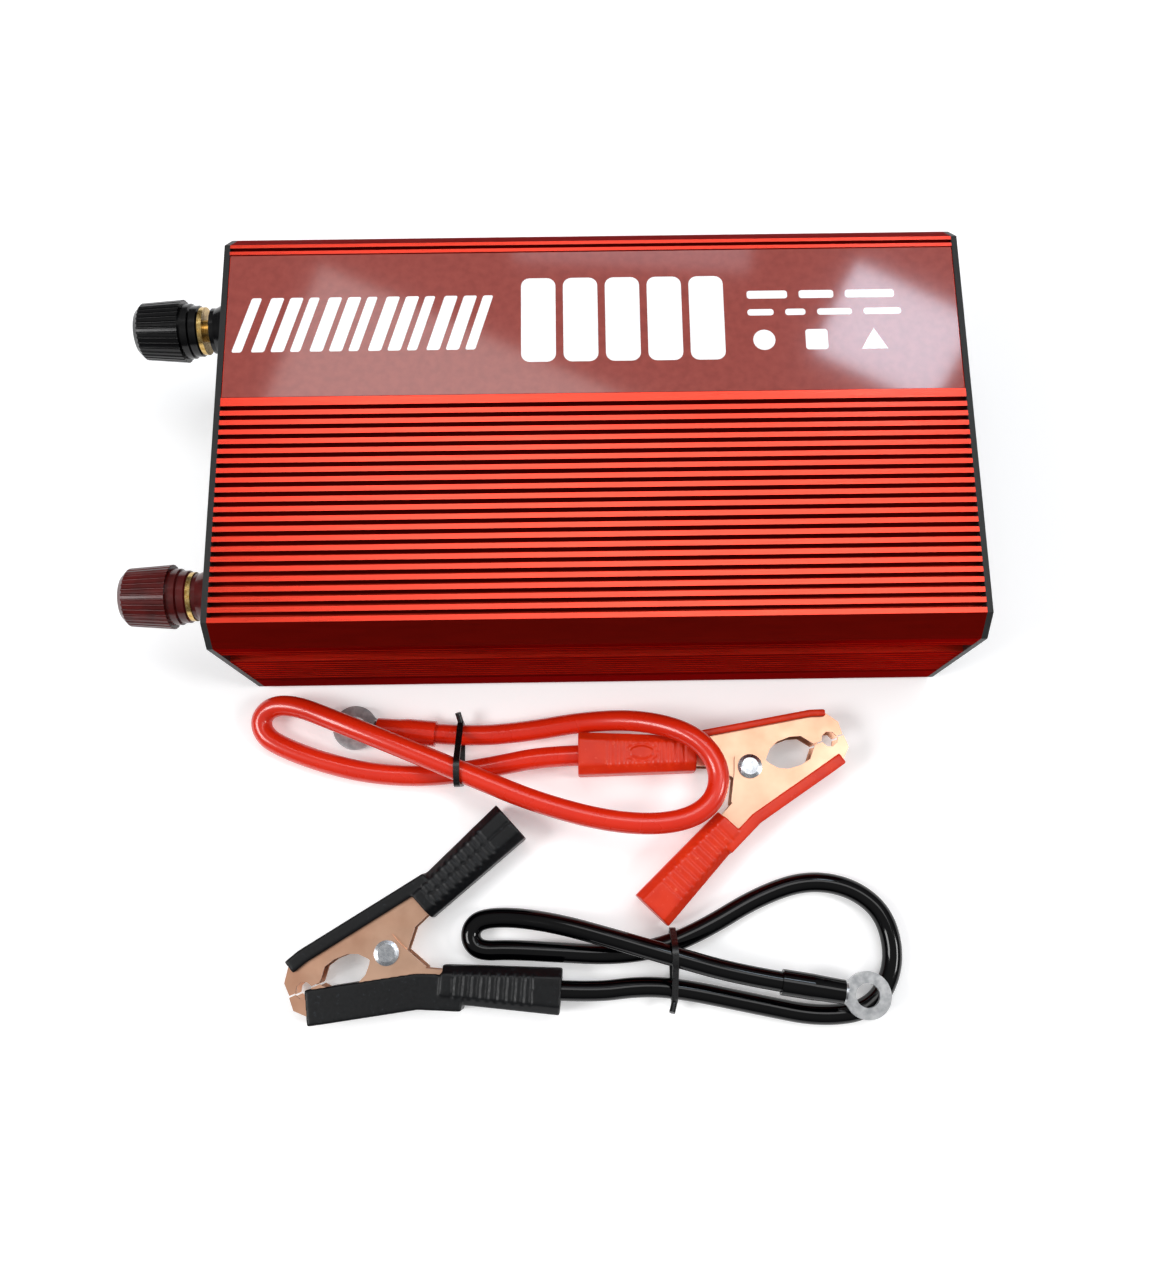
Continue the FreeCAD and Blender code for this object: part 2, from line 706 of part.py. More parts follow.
def fan_rotor():
    """Hub with pitched blades, turning on the frame's shaft."""
    x0 = fan_x() + 1.5
    length = FAN_THICK - 4.5
    parts = [rod(FAN_HUB_RADIUS, length, vec(x0, 0, FAN_Z), vec(1, 0, 0))]
    for i in range(FAN_BLADES):
        blade = box(x0 + length / 2 - FAN_BLADE_THICK / 2, x0 + length / 2 + FAN_BLADE_THICK / 2,
                    -5.5, 5.5, FAN_Z + FAN_HUB_RADIUS - 2, FAN_Z + FAN_BLADE_RADIUS - 1)
        blade.rotate(vec(x0 + length / 2, 0, FAN_Z), vec(0, 0, 1), FAN_BLADE_PITCH)
        blade.rotate(vec(0, 0, FAN_Z), vec(1, 0, 0), 360 * i / FAN_BLADES)
        parts.append(blade)
    bore = rod(1.5 + THREAD_PLAY, length, vec(x0, 0, FAN_Z), vec(1, 0, 0))
    return fused(parts).cut(bore)


def fan_guard():
    """Wire finger guard: rings on a cross, with an eye at each screw."""
    x1 = post_face()
    x0 = x1 - GUARD_WIRE
    rings = []
    for radius in GUARD_RINGS:
        ring = rod(radius + GUARD_WIRE / 2, GUARD_WIRE, vec(x0, 0, FAN_Z), vec(1, 0, 0))
        rings.append(ring.cut(rod(radius - GUARD_WIRE / 2, GUARD_WIRE, vec(x0, 0, FAN_Z), vec(1, 0, 0))))
    reach = FAN_SCREW_SPACING / math.sqrt(2)
    bars = []
    for angle in (45, 135):
        bar = box(x0, x1, -reach, reach, FAN_Z - GUARD_WIRE / 2, FAN_Z + GUARD_WIRE / 2)
        bar.rotate(vec(0, 0, FAN_Z), vec(1, 0, 0), angle)
        bars.append(bar)
    eyes = [rod(SCREW_HEAD_RADIUS, GUARD_WIRE, vec(x0, y, z), vec(1, 0, 0)) for y, z in fan_screw_points()]
    holes = [rod(SCREW_RADIUS + SCREW_HOLE_GAP, GUARD_WIRE, vec(x0, y, z), vec(1, 0, 0))
             for y, z in fan_screw_points()]
    return fused(rings + bars + eyes).cut(Part.makeCompound(holes))


def fan_screws():
    x = post_face() - GUARD_WIRE
    return [pan_screw(vec(x, y, z), vec(-1, 0, 0), GUARD_WIRE + END_PLATE + FAN_THICK - 3)
            for y, z in fan_screw_points()]


# ================================================================ output end
def socket_slots():
    """Slots (y, z, width, height) of a generic three-pin outlet, about the socket's middle."""
    return [(0.0, 10.5, 4.8, 9.0), (-9.5, -6.5, 7.5, 4.8), (9.5, -6.5, 7.5, 4.8)]


def ac_socket():
    x = CASE_LENGTH / 2
    half = SOCKET_SIZE / 2
    face = box(x, x + SOCKET_FLANGE, SOCKET_Y - half, SOCKET_Y + half, SOCKET_Z - half, SOCKET_Z + half)
    face = face.makeFillet(1.2, [e for e in face.Edges if e.BoundBox.XMin > x + SOCKET_FLANGE - 0.01])
    body_half = SOCKET_BODY / 2
    body = box(x - SOCKET_DEPTH, x, SOCKET_Y - body_half, SOCKET_Y + body_half,
               SOCKET_Z - body_half, SOCKET_Z + body_half)
    whole = fused([face, body])
    slots = []
    for y, z, wide, tall in socket_slots():
        y0 = SOCKET_Y + y - wide / 2
        z0 = SOCKET_Z + z - tall / 2
        slots.append(box(x - SOCKET_DEPTH + 3, x + SOCKET_FLANGE, y0, y0 + wide, z0, z0 + tall))
    return whole.cut(Part.makeCompound(slots))


def socket_contacts():
    """Brass springs at the bottom of the outlet's slots."""
    x = CASE_LENGTH / 2 - SOCKET_DEPTH + 3
    strips = []
    for y, z, wide, tall in socket_slots():
        y0 = SOCKET_Y + y - wide / 2
        z0 = SOCKET_Z + z - tall / 2
        strips.append(box(x, x + 6, y0, y0 + wide, z0, z0 + 0.6))
    return strips


def rocker_pivot_x():
    return CASE_LENGTH / 2 - 3.0


def rocker_housing():
    x = CASE_LENGTH / 2
    wide = ROCKER_WIDTH / 2
    tall = ROCKER_HEIGHT / 2
    rim = box(x, x + ROCKER_FLANGE, ROCKER_Y - wide - 2, ROCKER_Y + wide + 2,
              ROCKER_Z - tall - 2, ROCKER_Z + tall + 2)
    body = box(x - ROCKER_DEPTH, x, ROCKER_Y - wide, ROCKER_Y + wide, ROCKER_Z - tall, ROCKER_Z + tall)
    inner = box(x - ROCKER_DEPTH + 3, x + ROCKER_FLANGE, ROCKER_Y - wide + ROCKER_WALL,
                ROCKER_Y + wide - ROCKER_WALL, ROCKER_Z - tall + ROCKER_WALL, ROCKER_Z + tall - ROCKER_WALL)
    pin = rod(1.5, ROCKER_WIDTH - 1, vec(rocker_pivot_x(), ROCKER_Y - wide + 0.5, ROCKER_Z), vec(0, 1, 0))
    return fused([fused([rim, body]).cut(inner), pin])


def rocker_button():
    """Rocker with two faces that meet at a shallow valley, resting with its lower half in."""
    x = CASE_LENGTH / 2
    wide = ROCKER_WIDTH / 2 - ROCKER_WALL - ROCKER_GAP
    tall = ROCKER_HEIGHT / 2 - ROCKER_WALL - ROCKER_GAP - 0.9
    front = x + ROCKER_FLANGE + ROCKER_PROUD
    drop = tall * math.tan(math.radians(ROCKER_TILT))
    profile = [(front, -tall), (front - drop, 0.0), (front, tall), (front - ROCKER_THICK, tall * 0.8),
               (front - ROCKER_THICK - 2, 0.0), (front - ROCKER_THICK, -tall * 0.8)]
    points = [(px, ROCKER_Y - wide, ROCKER_Z + pz) for px, pz in profile]
    body = prism(points, vec(0, 2 * wide, 0))
    bore = rod(1.5 + THREAD_PLAY, ROCKER_WIDTH, vec(rocker_pivot_x(), ROCKER_Y - ROCKER_WIDTH / 2, ROCKER_Z),
               vec(0, 1, 0))
    body = body.cut(bore)
    body.rotate(vec(rocker_pivot_x(), 0, ROCKER_Z), vec(0, 1, 0), ROCKER_TILT)
    return body


def usb_port():
    x = CASE_LENGTH / 2
    half_w = USB_WIDTH / 2
    half_h = USB_HEIGHT / 2
    block = box(x - USB_DEPTH, x + 0.6, USB_Y - half_w, USB_Y + half_w, USB_Z - half_h, USB_Z + half_h)
    mouth = box(x - USB_DEPTH + 2, x + 0.6, USB_Y - 6.6, USB_Y + 6.6, USB_Z - 2.6, USB_Z + 2.6)
    tongue = box(x - USB_DEPTH + 2, x - 1, USB_Y - 5.4, USB_Y + 5.4, USB_Z - 2.6, USB_Z - 0.6)
    return fused([block.cut(mouth), tongue])


def light_points():
    return [USB_Y - LIGHT_SPACING / 2, USB_Y + LIGHT_SPACING / 2]


def status_lights():
    x = CASE_LENGTH / 2
    return [turned([(0, 0), (0, LIGHT_RADIUS), (LIGHT_DEPTH, LIGHT_RADIUS),
                    (LIGHT_DEPTH + LIGHT_PROUD, LIGHT_RADIUS * 0.6), (LIGHT_DEPTH + LIGHT_PROUD, 0)],
                   vec(x - LIGHT_DEPTH, y, LIGHT_Z), vec(1, 0, 0)) for y in light_points()]


# ================================================================ electronics
def board_top():
    return BOARD_Z + BOARD_THICK


def main_board():
    end = shell_end() - BOARD_END_GAP
    half = inner_half() - FIT_GAP - TONGUE_THICK + BOARD_EDGE
    board = box(-end, end, -half, half, BOARD_Z, board_top())
    clear = FAN_SIZE / 2 + BOARD_FAN_GAP
    return board.cut(box(-end, fan_x() + FAN_THICK + BOARD_FAN_GAP, -clear, clear, BOARD_Z, board_top()))


def core_points():
    half = CORE_SPACING / 2
    return [(CORE_X - half, 0.0), (CORE_X + half, 0.0)]


def transformer_cores():
    """Ferrite frames: two yokes, two outer legs and a centre leg."""
    cores = []
    dx, dy, dz = CORE_SIZE
    for x, y in core_points():
        frame = box(x - dx / 2, x + dx / 2, y - dy / 2, y + dy / 2, board_top(), board_top() + dz)
        leg = CORE_LEG / 2
        for side in (-1, 1):
            y0 = y + side * leg
            y1 = y + side * (dy / 2 - CORE_LEG / 2)
            frame = frame.cut(box(x - dx / 2, x + dx / 2, min(y0, y1), max(y0, y1),
                                  board_top() + CORE_YOKE, board_top() + dz - CORE_YOKE))
        cores.append(frame)
    return cores


def transformer_windings():
    windings = []
    dx = CORE_SIZE[0]
    dz = CORE_SIZE[2]
    z0 = board_top() + CORE_YOKE + PANEL_GAP
    z1 = board_top() + dz - CORE_YOKE - PANEL_GAP
    for x, y in core_points():
        leg = CORE_LEG / 2 + PANEL_GAP
        out = dx / 2 + COIL_WALL
        side = leg + COIL_WALL
        coil = box(x - out, x + out, y - side, y + side, z0, z1)
        coil = coil.cut(box(x - dx / 2 - PANEL_GAP, x + dx / 2 + PANEL_GAP, y - leg, y + leg, z0, z1))
        windings.append(coil)
    return windings


def capacitor(x, y, radius, height):
    return turned([(0, 0), (0, radius - 0.8), (0.8, radius), (2.5, radius), (3.2, radius - 0.5),
                   (3.9, radius), (height - 0.8, radius), (height, radius - 0.8), (height, 0)],
                  vec(x, y, board_top()), vec(0, 0, 1))


def input_capacitors():
    start = -(INPUT_CAPS - 1) / 2 * INPUT_CAP_PITCH
    return [capacitor(INPUT_CAP_X, start + i * INPUT_CAP_PITCH, INPUT_CAP_RADIUS, INPUT_CAP_HEIGHT)
            for i in range(INPUT_CAPS)]


def bus_capacitors():
    return [capacitor(BUS_CAP_X, side * BUS_CAP_PITCH / 2, BUS_CAP_RADIUS, BUS_CAP_HEIGHT)
            for side in (-1, 1)]


def bank_xs(middle):
    start = middle - (FETS_PER_BANK - 1) / 2 * FET_PITCH
    return [start + i * FET_PITCH for i in range(FETS_PER_BANK)]


def fet_wall():
    """Distance from the middle to the flat inside of the channel wall."""
    return half_width() - CHANNEL_DEPTH - WALL


def banks():
    return [(FRONT_BANK_X, -1), (BACK_BANK_X, 1)]


def mosfets():
    """Power transistors standing on the board against the channel walls."""
    cans = []
    z0 = channel_z() + CHANNEL_WIDTH / 2 - FET_HEIGHT / 2
    for middle, side in banks():
        y0 = side * fet_wall()
        y1 = side * (fet_wall() - FET_THICK)
        for x in bank_xs(middle):
            can = box(x - FET_WIDTH / 2, x + FET_WIDTH / 2, min(y0, y1), max(y0, y1), z0, z0 + FET_HEIGHT)
            leg_y = (y0 + y1) / 2
            legs = [box(x + dx - 0.5, x + dx + 0.5, leg_y - 0.5, leg_y + 0.5, board_top(), z0)
                    for dx in (-2.54, 0.0, 2.54)]
            cans.append(fused([can] + legs))
    return cans


def clamp_bars():
    """Steel bars that press each bank of transistors to the wall."""
    bars = []
    z = channel_z() + CHANNEL_WIDTH / 2
    for middle, side in banks():
        reach = FET_PITCH * (FETS_PER_BANK - 1) / 2 + FET_WIDTH / 2 + 3
        y0 = side * (fet_wall() - FET_THICK)
        y1 = side * (fet_wall() - FET_THICK - BAR_THICK)
        bar = box(middle - reach, middle + reach, min(y0, y1), max(y0, y1),
                  z - BAR_HEIGHT / 2, z + BAR_HEIGHT / 2)
        bore = SCREW_RADIUS + SCREW_HOLE_GAP
        holes = [rod(bore, BAR_THICK, vec(x, y0, z), vec(0, -side, 0))
                 for x, s in channel_screw_points() if s == side]
        bars.append(bar.cut(Part.makeCompound(holes)))
    return bars


def fuses():
    dx, dy, dz = FUSE_SIZE
    start = -(FUSES - 1) / 2 * FUSE_PITCH
    blades = []
    for i in range(FUSES):
        x = FUSE_X
        y = start + i * FUSE_PITCH
        blades.append(box(x - dy / 2, x + dy / 2, y - dx / 2, y + dx / 2, board_top(), board_top() + dz))
    return blades


def output_choke():
    ring = rod(CHOKE_RADIUS, CHOKE_THICK, vec(CHOKE_X, CHOKE_Y, board_top()), vec(0, 0, 1))
    return ring.cut(rod(CHOKE_HOLE, CHOKE_THICK, vec(CHOKE_X, CHOKE_Y, board_top()), vec(0, 0, 1)))


def control_card():
    x0 = CARD_X - CARD_LENGTH / 2
    card = box(x0, x0 + CARD_LENGTH, CARD_Y, CARD_Y + BOARD_THICK, board_top(), board_top() + CARD_HEIGHT)
    chip = box(CARD_X - 8, CARD_X + 8, CARD_Y - 2, CARD_Y, board_top() + 14, board_top() + 22)
    return fused([card, chip])


# ================================================================ spring clamps
# A clamp is drawn flat with the rivet at the origin, +X to the tips and the rivet along Z.
# The outer jaw is below the X axis and its sheet wraps outside the inner jaw's.
JAW_BACK = {"inner": ((37.0, 5.0), (33.5, 10.0), (28.0, 11.6), (-13.0, 17.4)),
            "outer": ((37.0, -5.0), (33.5, -8.6), (28.0, -10.2), (-4.0, -19.0))}
JAW_FRONT = {"inner": ((-12.0, 4.0), (-5.0, -4.0), (2.5, -6.2), (7.0, 1.0), (9.5, 3.8), (13.0, 5.4),
                       (18.0, 5.6), (22.0, 4.6), (25.5, 0.3), (28.5, 0.3), (29.5, 2.2), (31.5, 3.0),
                       (33.5, 2.2), (34.5, 0.3), (36.8, 0.3)),
             "outer": ((-11.0, -10.0), (-6.0, 0.0), (-4.0, 5.2), (3.0, 6.2), (7.0, -1.0), (9.5, -3.8),
                       (13.0, -5.4), (18.0, -5.6), (22.0, -4.6), (25.5, -0.3), (28.5, -0.3),
                       (29.5, -2.2), (31.5, -3.0), (33.5, -2.2), (34.5, -0.3), (36.8, -0.3))}
HANDLE_START = {"inner": (-12.0, 9.4), "outer": (-9.0, -15.0)}
HANDLE_END = {"inner": (-58.0, 25.0), "outer": (-51.0, -37.0)}
HANDLE_METAL_SHARE = 0.62
HANDLE_METAL_WIDTH = 8.0
BOOT_START = 5.0


def cheek_z(kind):
    """Outer face of a jaw's cheek sheets, from the clamp's mid-plane."""
    if kind == "inner":
        return INNER_CHEEK
    return INNER_CHEEK + CHEEK_GAP + SHEET


def handle_frame(kind):
    """Start, unit direction, unit normal and length of a handle."""
    sx, sy = HANDLE_START[kind]
    ex, ey = HANDLE_END[kind]
    length = math.hypot(ex - sx, ey - sy)
    ux = (ex - sx) / length
    uy = (ey - sy) / length
    return (sx, sy), (ux, uy), (-uy, ux), length


def handle_quad(kind, near, far, near_width, far_width):
    """Tapered stretch of a handle between two distances from its start."""
    (sx, sy), (ux, uy), (nx, ny), _ = handle_frame(kind)
    quad = []
    for along, half in ((near, near_width / 2), (far, far_width / 2)):
        x = sx + ux * along
        y = sy + uy * along
        quad.append(((x + nx * half, y + ny * half), (x - nx * half, y - ny * half)))
    return [quad[0][0], quad[0][1], quad[1][1], quad[1][0]]


def wall_along(points, thick, z0, z1, inward):
    """Sheet standing on an open run of points, thickened to one side with mitred corners."""
    normals = []
    for (ax, ay), (bx, by) in zip(points, points[1:]):
        length = math.hypot(bx - ax, by - ay)
        normals.append((-(by - ay) / length * inward, (bx - ax) / length * inward))
    offset = []
    for (px, py), (mx, my), (nx, ny) in zip(points, normals[:1] + normals, normals + normals[-1:]):
        reach = thick / (1 + mx * nx + my * ny)
        offset.append((px + (mx + nx) * reach, py + (my + ny) * reach))
    return flat_plate(list(points) + offset[::-1], z0, z1)


def metal_end(kind):
    return handle_frame(kind)[3] * HANDLE_METAL_SHARE


def jaw_plan(kind, z0, z1):
    """Whole outline of one jaw and its handle's channel between two heights."""
    plate = flat_plate(list(JAW_BACK[kind]) + list(JAW_FRONT[kind]), z0, z1)
    handle = flat_plate(handle_quad(kind, -6.0, metal_end(kind), HANDLE_METAL_WIDTH + 2, HANDLE_METAL_WIDTH),
                        z0, z1)
    return fused([plate, handle])


def jaw(kind):
    """Pressed sheet jaw: two cheeks, a back along the outer edge, and a channel for the handle."""
    top = cheek_z(kind)
    cheeks = [jaw_plan(kind, top - SHEET, top), jaw_plan(kind, -top, -top + SHEET)]
    inward = 1 if kind == "inner" else -1
    back = wall_along(JAW_BACK[kind][1:], SHEET, -top, top, inward)
    metal = handle_quad(kind, -6.0, metal_end(kind), HANDLE_METAL_WIDTH + 2, HANDLE_METAL_WIDTH)
    outer_edge = [metal[1], metal[2]] if kind == "inner" else [metal[0], metal[3]]
    spine = wall_along(outer_edge, SHEET, -top, top, inward)
    nose = wall_along([JAW_BACK[kind][0], JAW_BACK[kind][1]], SHEET, -top, top, inward)
    whole = fused(cheeks + [back, spine, nose])
    bore = rod(RIVET_RADIUS + THREAD_PLAY, 4 * top, vec(0, 0, -2 * top), vec(0, 0, 1))
    return whole.cut(bore)


def boot(kind, cover, wall):
    """Plastic grip: a hollow handle sleeve with a lip along the back of the jaw."""
    length = handle_frame(kind)[3]
    plan = handle_quad(kind, BOOT_START, length, BOOT_START_WIDTH, BOOT_END_WIDTH)
    grip = flat_plate(plan, -BOOT_HALF_THICK, BOOT_HALF_THICK)
    long_edges = [e for e in grip.Edges if abs(e.Vertexes[0].Z - e.Vertexes[1].Z) < 0.01
                  and e.Length > BOOT_START_WIDTH + BOOT_END_WIDTH]
    grip = grip.makeChamfer(BOOT_ROUND, long_edges)
    near = handle_quad(kind, BOOT_START + BOOT_LIP_RUN, length, BOOT_START_WIDTH - 2, BOOT_END_WIDTH)
    outer_corner = near[1] if kind == "inner" else near[0]
    run = list(JAW_BACK[kind][1:]) + [outer_corner]
    outward = -1 if kind == "inner" else 1
    lip_z = cheek_z("outer") + BOOT_WALL
    over = wall_along(run, wall, -lip_z, lip_z, outward)
    under = wall_along(run, cover, -lip_z, lip_z, -outward)
    whole = fused([grip, over, under])
    room = cheek_z(kind)
    return whole.cut(jaw_plan(kind, -room, room))


def cable_hole(kind, radius):
    """Hole into the end of a boot for the cable."""
    _, (ux, uy), _, _ = handle_frame(kind)
    ex, ey = HANDLE_END[kind]
    return rod(radius, BOOT_HOLE_DEPTH, vec(ex, ey, 0), vec(-ux, -uy, 0))


def rivet():
    top = cheek_z("outer")
    shank = rod(RIVET_RADIUS, 2 * top, vec(0, 0, -top), vec(0, 0, 1))
    head = turned([(0, 0), (0, RIVET_HEAD_RADIUS), (RIVET_HEAD_THICK * 0.5, RIVET_HEAD_RADIUS),
                   (RIVET_HEAD_THICK, RIVET_HEAD_RADIUS * 0.7), (RIVET_HEAD_THICK, 0)],
                  vec(0, 0, top), vec(0, 0, 1))
    foot = head.mirror(vec(0, 0, 0), vec(0, 0, 1))
    return fused([shank, head, foot])


def clamp_spring():
    """Coil of the torsion spring, as the sleeve that its turns fill."""
    half = INNER_CHEEK - SHEET - CHEEK_GAP
    coil = rod(SPRING_OUTER, 2 * half, vec(0, 0, -half), vec(0, 0, 1))
    return coil.cut(rod(SPRING_OUTER - SPRING_WIRE, 2 * half, vec(0, 0, -half), vec(0, 0, 1)))


def laid(shape, flipped, angle, rivet_point):
    """Put a clamp's piece on the table: turned over or not, then turned and moved."""
    if flipped:
        shape = mirrored_y(shape)
    shape = shape.copy()
    shape.rotate(vec(0, 0, 0), vec(0, 0, 1), angle)
    shape.translate(vec(rivet_point[0], rivet_point[1], CLAMP_MID_Z))
    return shape


# ================================================================ cables
def cable_path(points):
    """Straight runs joined by tangent arcs as large as their runs allow."""
    corners = [vec(*p) for p in points]
    edges = []
    radii = []
    last = corners[0]
    for before, corner, after in zip(corners, corners[1:], corners[2:]):
        back = before - corner
        ahead = after - corner
        reach = CABLE_BEND_SHARE * min(back.Length, ahead.Length)
        turn = math.pi - back.getAngle(ahead)
        radii.append(reach / math.tan(turn / 2))
        start = corner + back * (reach / back.Length)
        end = corner + ahead * (reach / ahead.Length)
        inward = (back * (1 / back.Length) + ahead * (1 / ahead.Length)).normalize()
        centre = corner + inward * math.hypot(reach, radii[-1])
        middle = centre - inward * radii[-1]
        edges.append(Part.LineSegment(last, start).toShape())
        edges.append(Part.Arc(start, middle, end).toShape())
        last = end
    edges.append(Part.LineSegment(last, corners[-1]).toShape())
    return Part.Wire(edges), radii


def cable(name, points, radius):
    path, radii = cable_path(points)
    start = vec(*points[0])
    ring = Part.Wire(Part.makeCircle(radius, start, vec(*points[1]) - start))
    tube = path.makePipeShell([ring], True, True)
    expected = math.pi * radius ** 2 * path.Length
    print(name, "length", round(path.Length, 1), "volume ratio", round(tube.Volume / expected, 4))
    print(name, "bend radii", [round(r, 1) for r in radii])
    return tube


# ================================================================ what is on a cable
def sleeve_start(route):
    """Mouth of the sleeve and the direction out to the ring terminal."""
    last = vec(*route[-1])
    look = (last - vec(*route[-2])).normalize()
    return last - look * CABLE_IN_SLEEVE, look


def terminal_sleeve(route, radius):
    """Shrunk sleeve over the end of the cable and the terminal's barrel."""
    start, look = sleeve_start(route)
    out = radius + CABLE_GAP + SLEEVE_WALL
    body = turned([(0, 0), (0, out), (CABLE_IN_SLEEVE + 2, out), (CABLE_IN_SLEEVE + 5, BARREL_RADIUS + 1.0),
                   (SLEEVE_LENGTH, BARREL_RADIUS + SLEEVE_WALL), (SLEEVE_LENGTH, 0)], start, look)
    hole = rod(radius + CABLE_GAP, CABLE_IN_SLEEVE, start, look)
    barrel = rod(BARREL_RADIUS, SLEEVE_LENGTH - CABLE_IN_SLEEVE, start + look * CABLE_IN_SLEEVE, look)
    return body.cut(Part.makeCompound([hole, barrel]))


def ring_centre(route):
    start, look = sleeve_start(route)
    centre = start + look * (SLEEVE_LENGTH + RING_RADIUS + 0.5)
    return vec(centre.x, centre.y, centre.z - BARREL_RADIUS)


def ring_terminal(route):
    """Tinned lug: barrel, flattened neck and ring."""
    start, look = sleeve_start(route)
    barrel = rod(BARREL_RADIUS, BARREL_LENGTH, start + look * CABLE_IN_SLEEVE, look)
    centre = ring_centre(route)
    ring = rod(RING_RADIUS, RING_THICK, centre, vec(0, 0, 1))
    side = vec(-look.y, look.x, 0)
    neck_start = start + look * SLEEVE_LENGTH
    foot = vec(neck_start.x, neck_start.y, centre.z)
    points = [foot + side * BARREL_RADIUS, foot - side * BARREL_RADIUS,
              centre - side * RING_RADIUS * 0.8 - look * 4, centre - side * RING_RADIUS * 0.4,
              centre + side * RING_RADIUS * 0.4, centre + side * RING_RADIUS * 0.8 - look * 4]
    neck = prism([(p.x, p.y, p.z) for p in points], vec(0, 0, RING_THICK))
    whole = fused([barrel, ring, neck])
    return whole.cut(rod(RING_HOLE_RADIUS, RING_THICK, centre, vec(0, 0, 1)))


def cable_tie(x, strands, radius, knob_side):
    """Band round the strands, as the outline of their bundle, with a twisted knob."""
    corners = [vec(x - TIE_WIDTH / 2, y, z) for y, z in strands]
    bundle = Part.makePolygon(corners + [corners[0]])
    inner = Part.Face(bundle.makeOffset2D(radius + TIE_GAP))
    outer = Part.Face(bundle.makeOffset2D(radius + TIE_GAP + TIE_THICK))
    band = outer.cut(inner).extrude(vec(TIE_WIDTH, 0, 0))
    edge = max(knob_side * y for y, _ in strands) + radius + TIE_GAP + TIE_THICK
    low = min(z for _, z in strands)
    knob = rod(TIE_WIDTH / 2, TIE_KNOB, vec(x, knob_side * (edge - 0.5), low + 1.0),
               vec(-0.3, knob_side, 0.4))
    return fused([band, knob])


def lead(colour, route, radius, flipped, angle, rivet_point, fixed, covers, tie):
    """All the pieces of one battery lead, as node names and shapes."""
    moving = "outer" if fixed == "inner" else "inner"

    def put(shape):
        return laid(shape, flipped, angle, rivet_point)

    fixed_boot = boot(fixed, *covers[0]).cut(cable_hole(fixed, radius + CABLE_GAP))
    return {
        colour + "_cable": cable(colour, route, radius),
        colour + "_terminal_sleeve": terminal_sleeve(route, radius),
        colour + "_ring_terminal": ring_terminal(route),
        colour + "_cable_tie": cable_tie(tie[0], tie[1], radius, tie[2]),
        colour + "_fixed_jaw": put(jaw(fixed)),
        colour + "_moving_jaw": put(jaw(moving)),
        colour + "_fixed_grip": put(fixed_boot),
        colour + "_moving_grip": put(boot(moving, *covers[1])),
        colour + "_clamp_rivet": put(rivet()),
        colour + "_clamp_spring": put(clamp_spring()),
    }


def main():
    os.makedirs("parts", exist_ok=True)
    single = [upper_shell, lower_shell, terminal_end_plate, socket_end_plate, end_plate_screws,
              channel_screws, top_label, post_lock_nuts, fan_frame, fan_rotor, fan_guard, fan_screws,
              ac_socket, socket_contacts, rocker_housing, rocker_button, usb_port, status_lights,
              main_board, transformer_cores, transformer_windings, input_capacitors, bus_capacitors,
              mosfets, clamp_bars, fuses, output_choke, control_card]
    for make in single:
        save(make.__name__, make())
    openings = {"black": BLACK_KNOB_OPEN, "red": 0.0}
    for colour, y in post_points().items():
        save(colour + "_post_flange", post_flange(y))
        save(colour + "_post_stud", post_stud(y))
        save(colour + "_post_washer", post_washer(y, openings[colour]))
        save(colour + "_post_knob", post_knob(y, openings[colour]))
        save(colour + "_knob_insert", knob_insert(y, openings[colour]))
    save("bus_bars", [bus_bar(y) for y in post_points().values()])
    red = lead("red", RED_ROUTE, RED_CABLE_RADIUS, False, RED_JAW_ANGLE, RED_RIVET, "inner",
               RED_COVERS, (RED_TIE_X, RED_TIE_STRANDS, 1))
    black = lead("black", BLACK_ROUTE, BLACK_CABLE_RADIUS, True, BLACK_JAW_ANGLE, BLACK_RIVET, "outer",
                 BLACK_COVERS, (BLACK_TIE_X, BLACK_TIE_STRANDS, -1))
    for pieces in (red, black):
        for name, shape in pieces.items():
            save(name, shape)


main()
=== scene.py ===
import logging
import math
from dataclasses import dataclass
from enum import Enum

import bmesh
import bpy
from mathutils import Matrix, Vector


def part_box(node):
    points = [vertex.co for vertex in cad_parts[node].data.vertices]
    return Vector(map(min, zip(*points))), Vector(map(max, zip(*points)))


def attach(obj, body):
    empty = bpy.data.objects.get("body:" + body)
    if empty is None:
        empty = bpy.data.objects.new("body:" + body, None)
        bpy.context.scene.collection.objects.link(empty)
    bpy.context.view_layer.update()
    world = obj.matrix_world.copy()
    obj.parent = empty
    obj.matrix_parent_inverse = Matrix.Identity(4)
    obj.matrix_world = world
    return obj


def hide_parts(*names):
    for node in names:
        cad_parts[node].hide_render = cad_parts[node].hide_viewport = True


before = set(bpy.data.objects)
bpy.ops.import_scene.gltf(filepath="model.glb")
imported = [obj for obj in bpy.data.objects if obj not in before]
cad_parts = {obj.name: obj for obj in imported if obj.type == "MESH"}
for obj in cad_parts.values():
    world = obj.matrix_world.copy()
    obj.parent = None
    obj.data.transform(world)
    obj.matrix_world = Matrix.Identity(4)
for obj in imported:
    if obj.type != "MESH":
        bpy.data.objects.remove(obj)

log = logging.getLogger("inverter")
MM = 0.001
NodeInputs = dict[str | int, object]
# Shares of a noise pattern's range between which it passes from one end to the other.
PATCH_BAND = (0.35, 0.65)
GRAIN_BAND = (0.3, 0.7)
PATCH_DETAIL = 4.0


# ---------------------------------------------------------------- colour and nodes
def linear(code: str, alpha: float = 1.0) -> tuple[float, float, float, float]:
    """Turn an sRGB hex colour into the linear values that the shaders work in.

    Args:
        code: Colour as "#RRGGBB".
        alpha: Opacity that goes with it.

    Returns:
        Linear red, green, blue and alpha.
    """
    parts = [int(code[i:i + 2], 16) / 255 for i in (1, 3, 5)]
    red, green, blue = [c / 12.92 if c <= 0.04045 else ((c + 0.055) / 1.055) ** 2.4 for c in parts]
    return red, green, blue, alpha


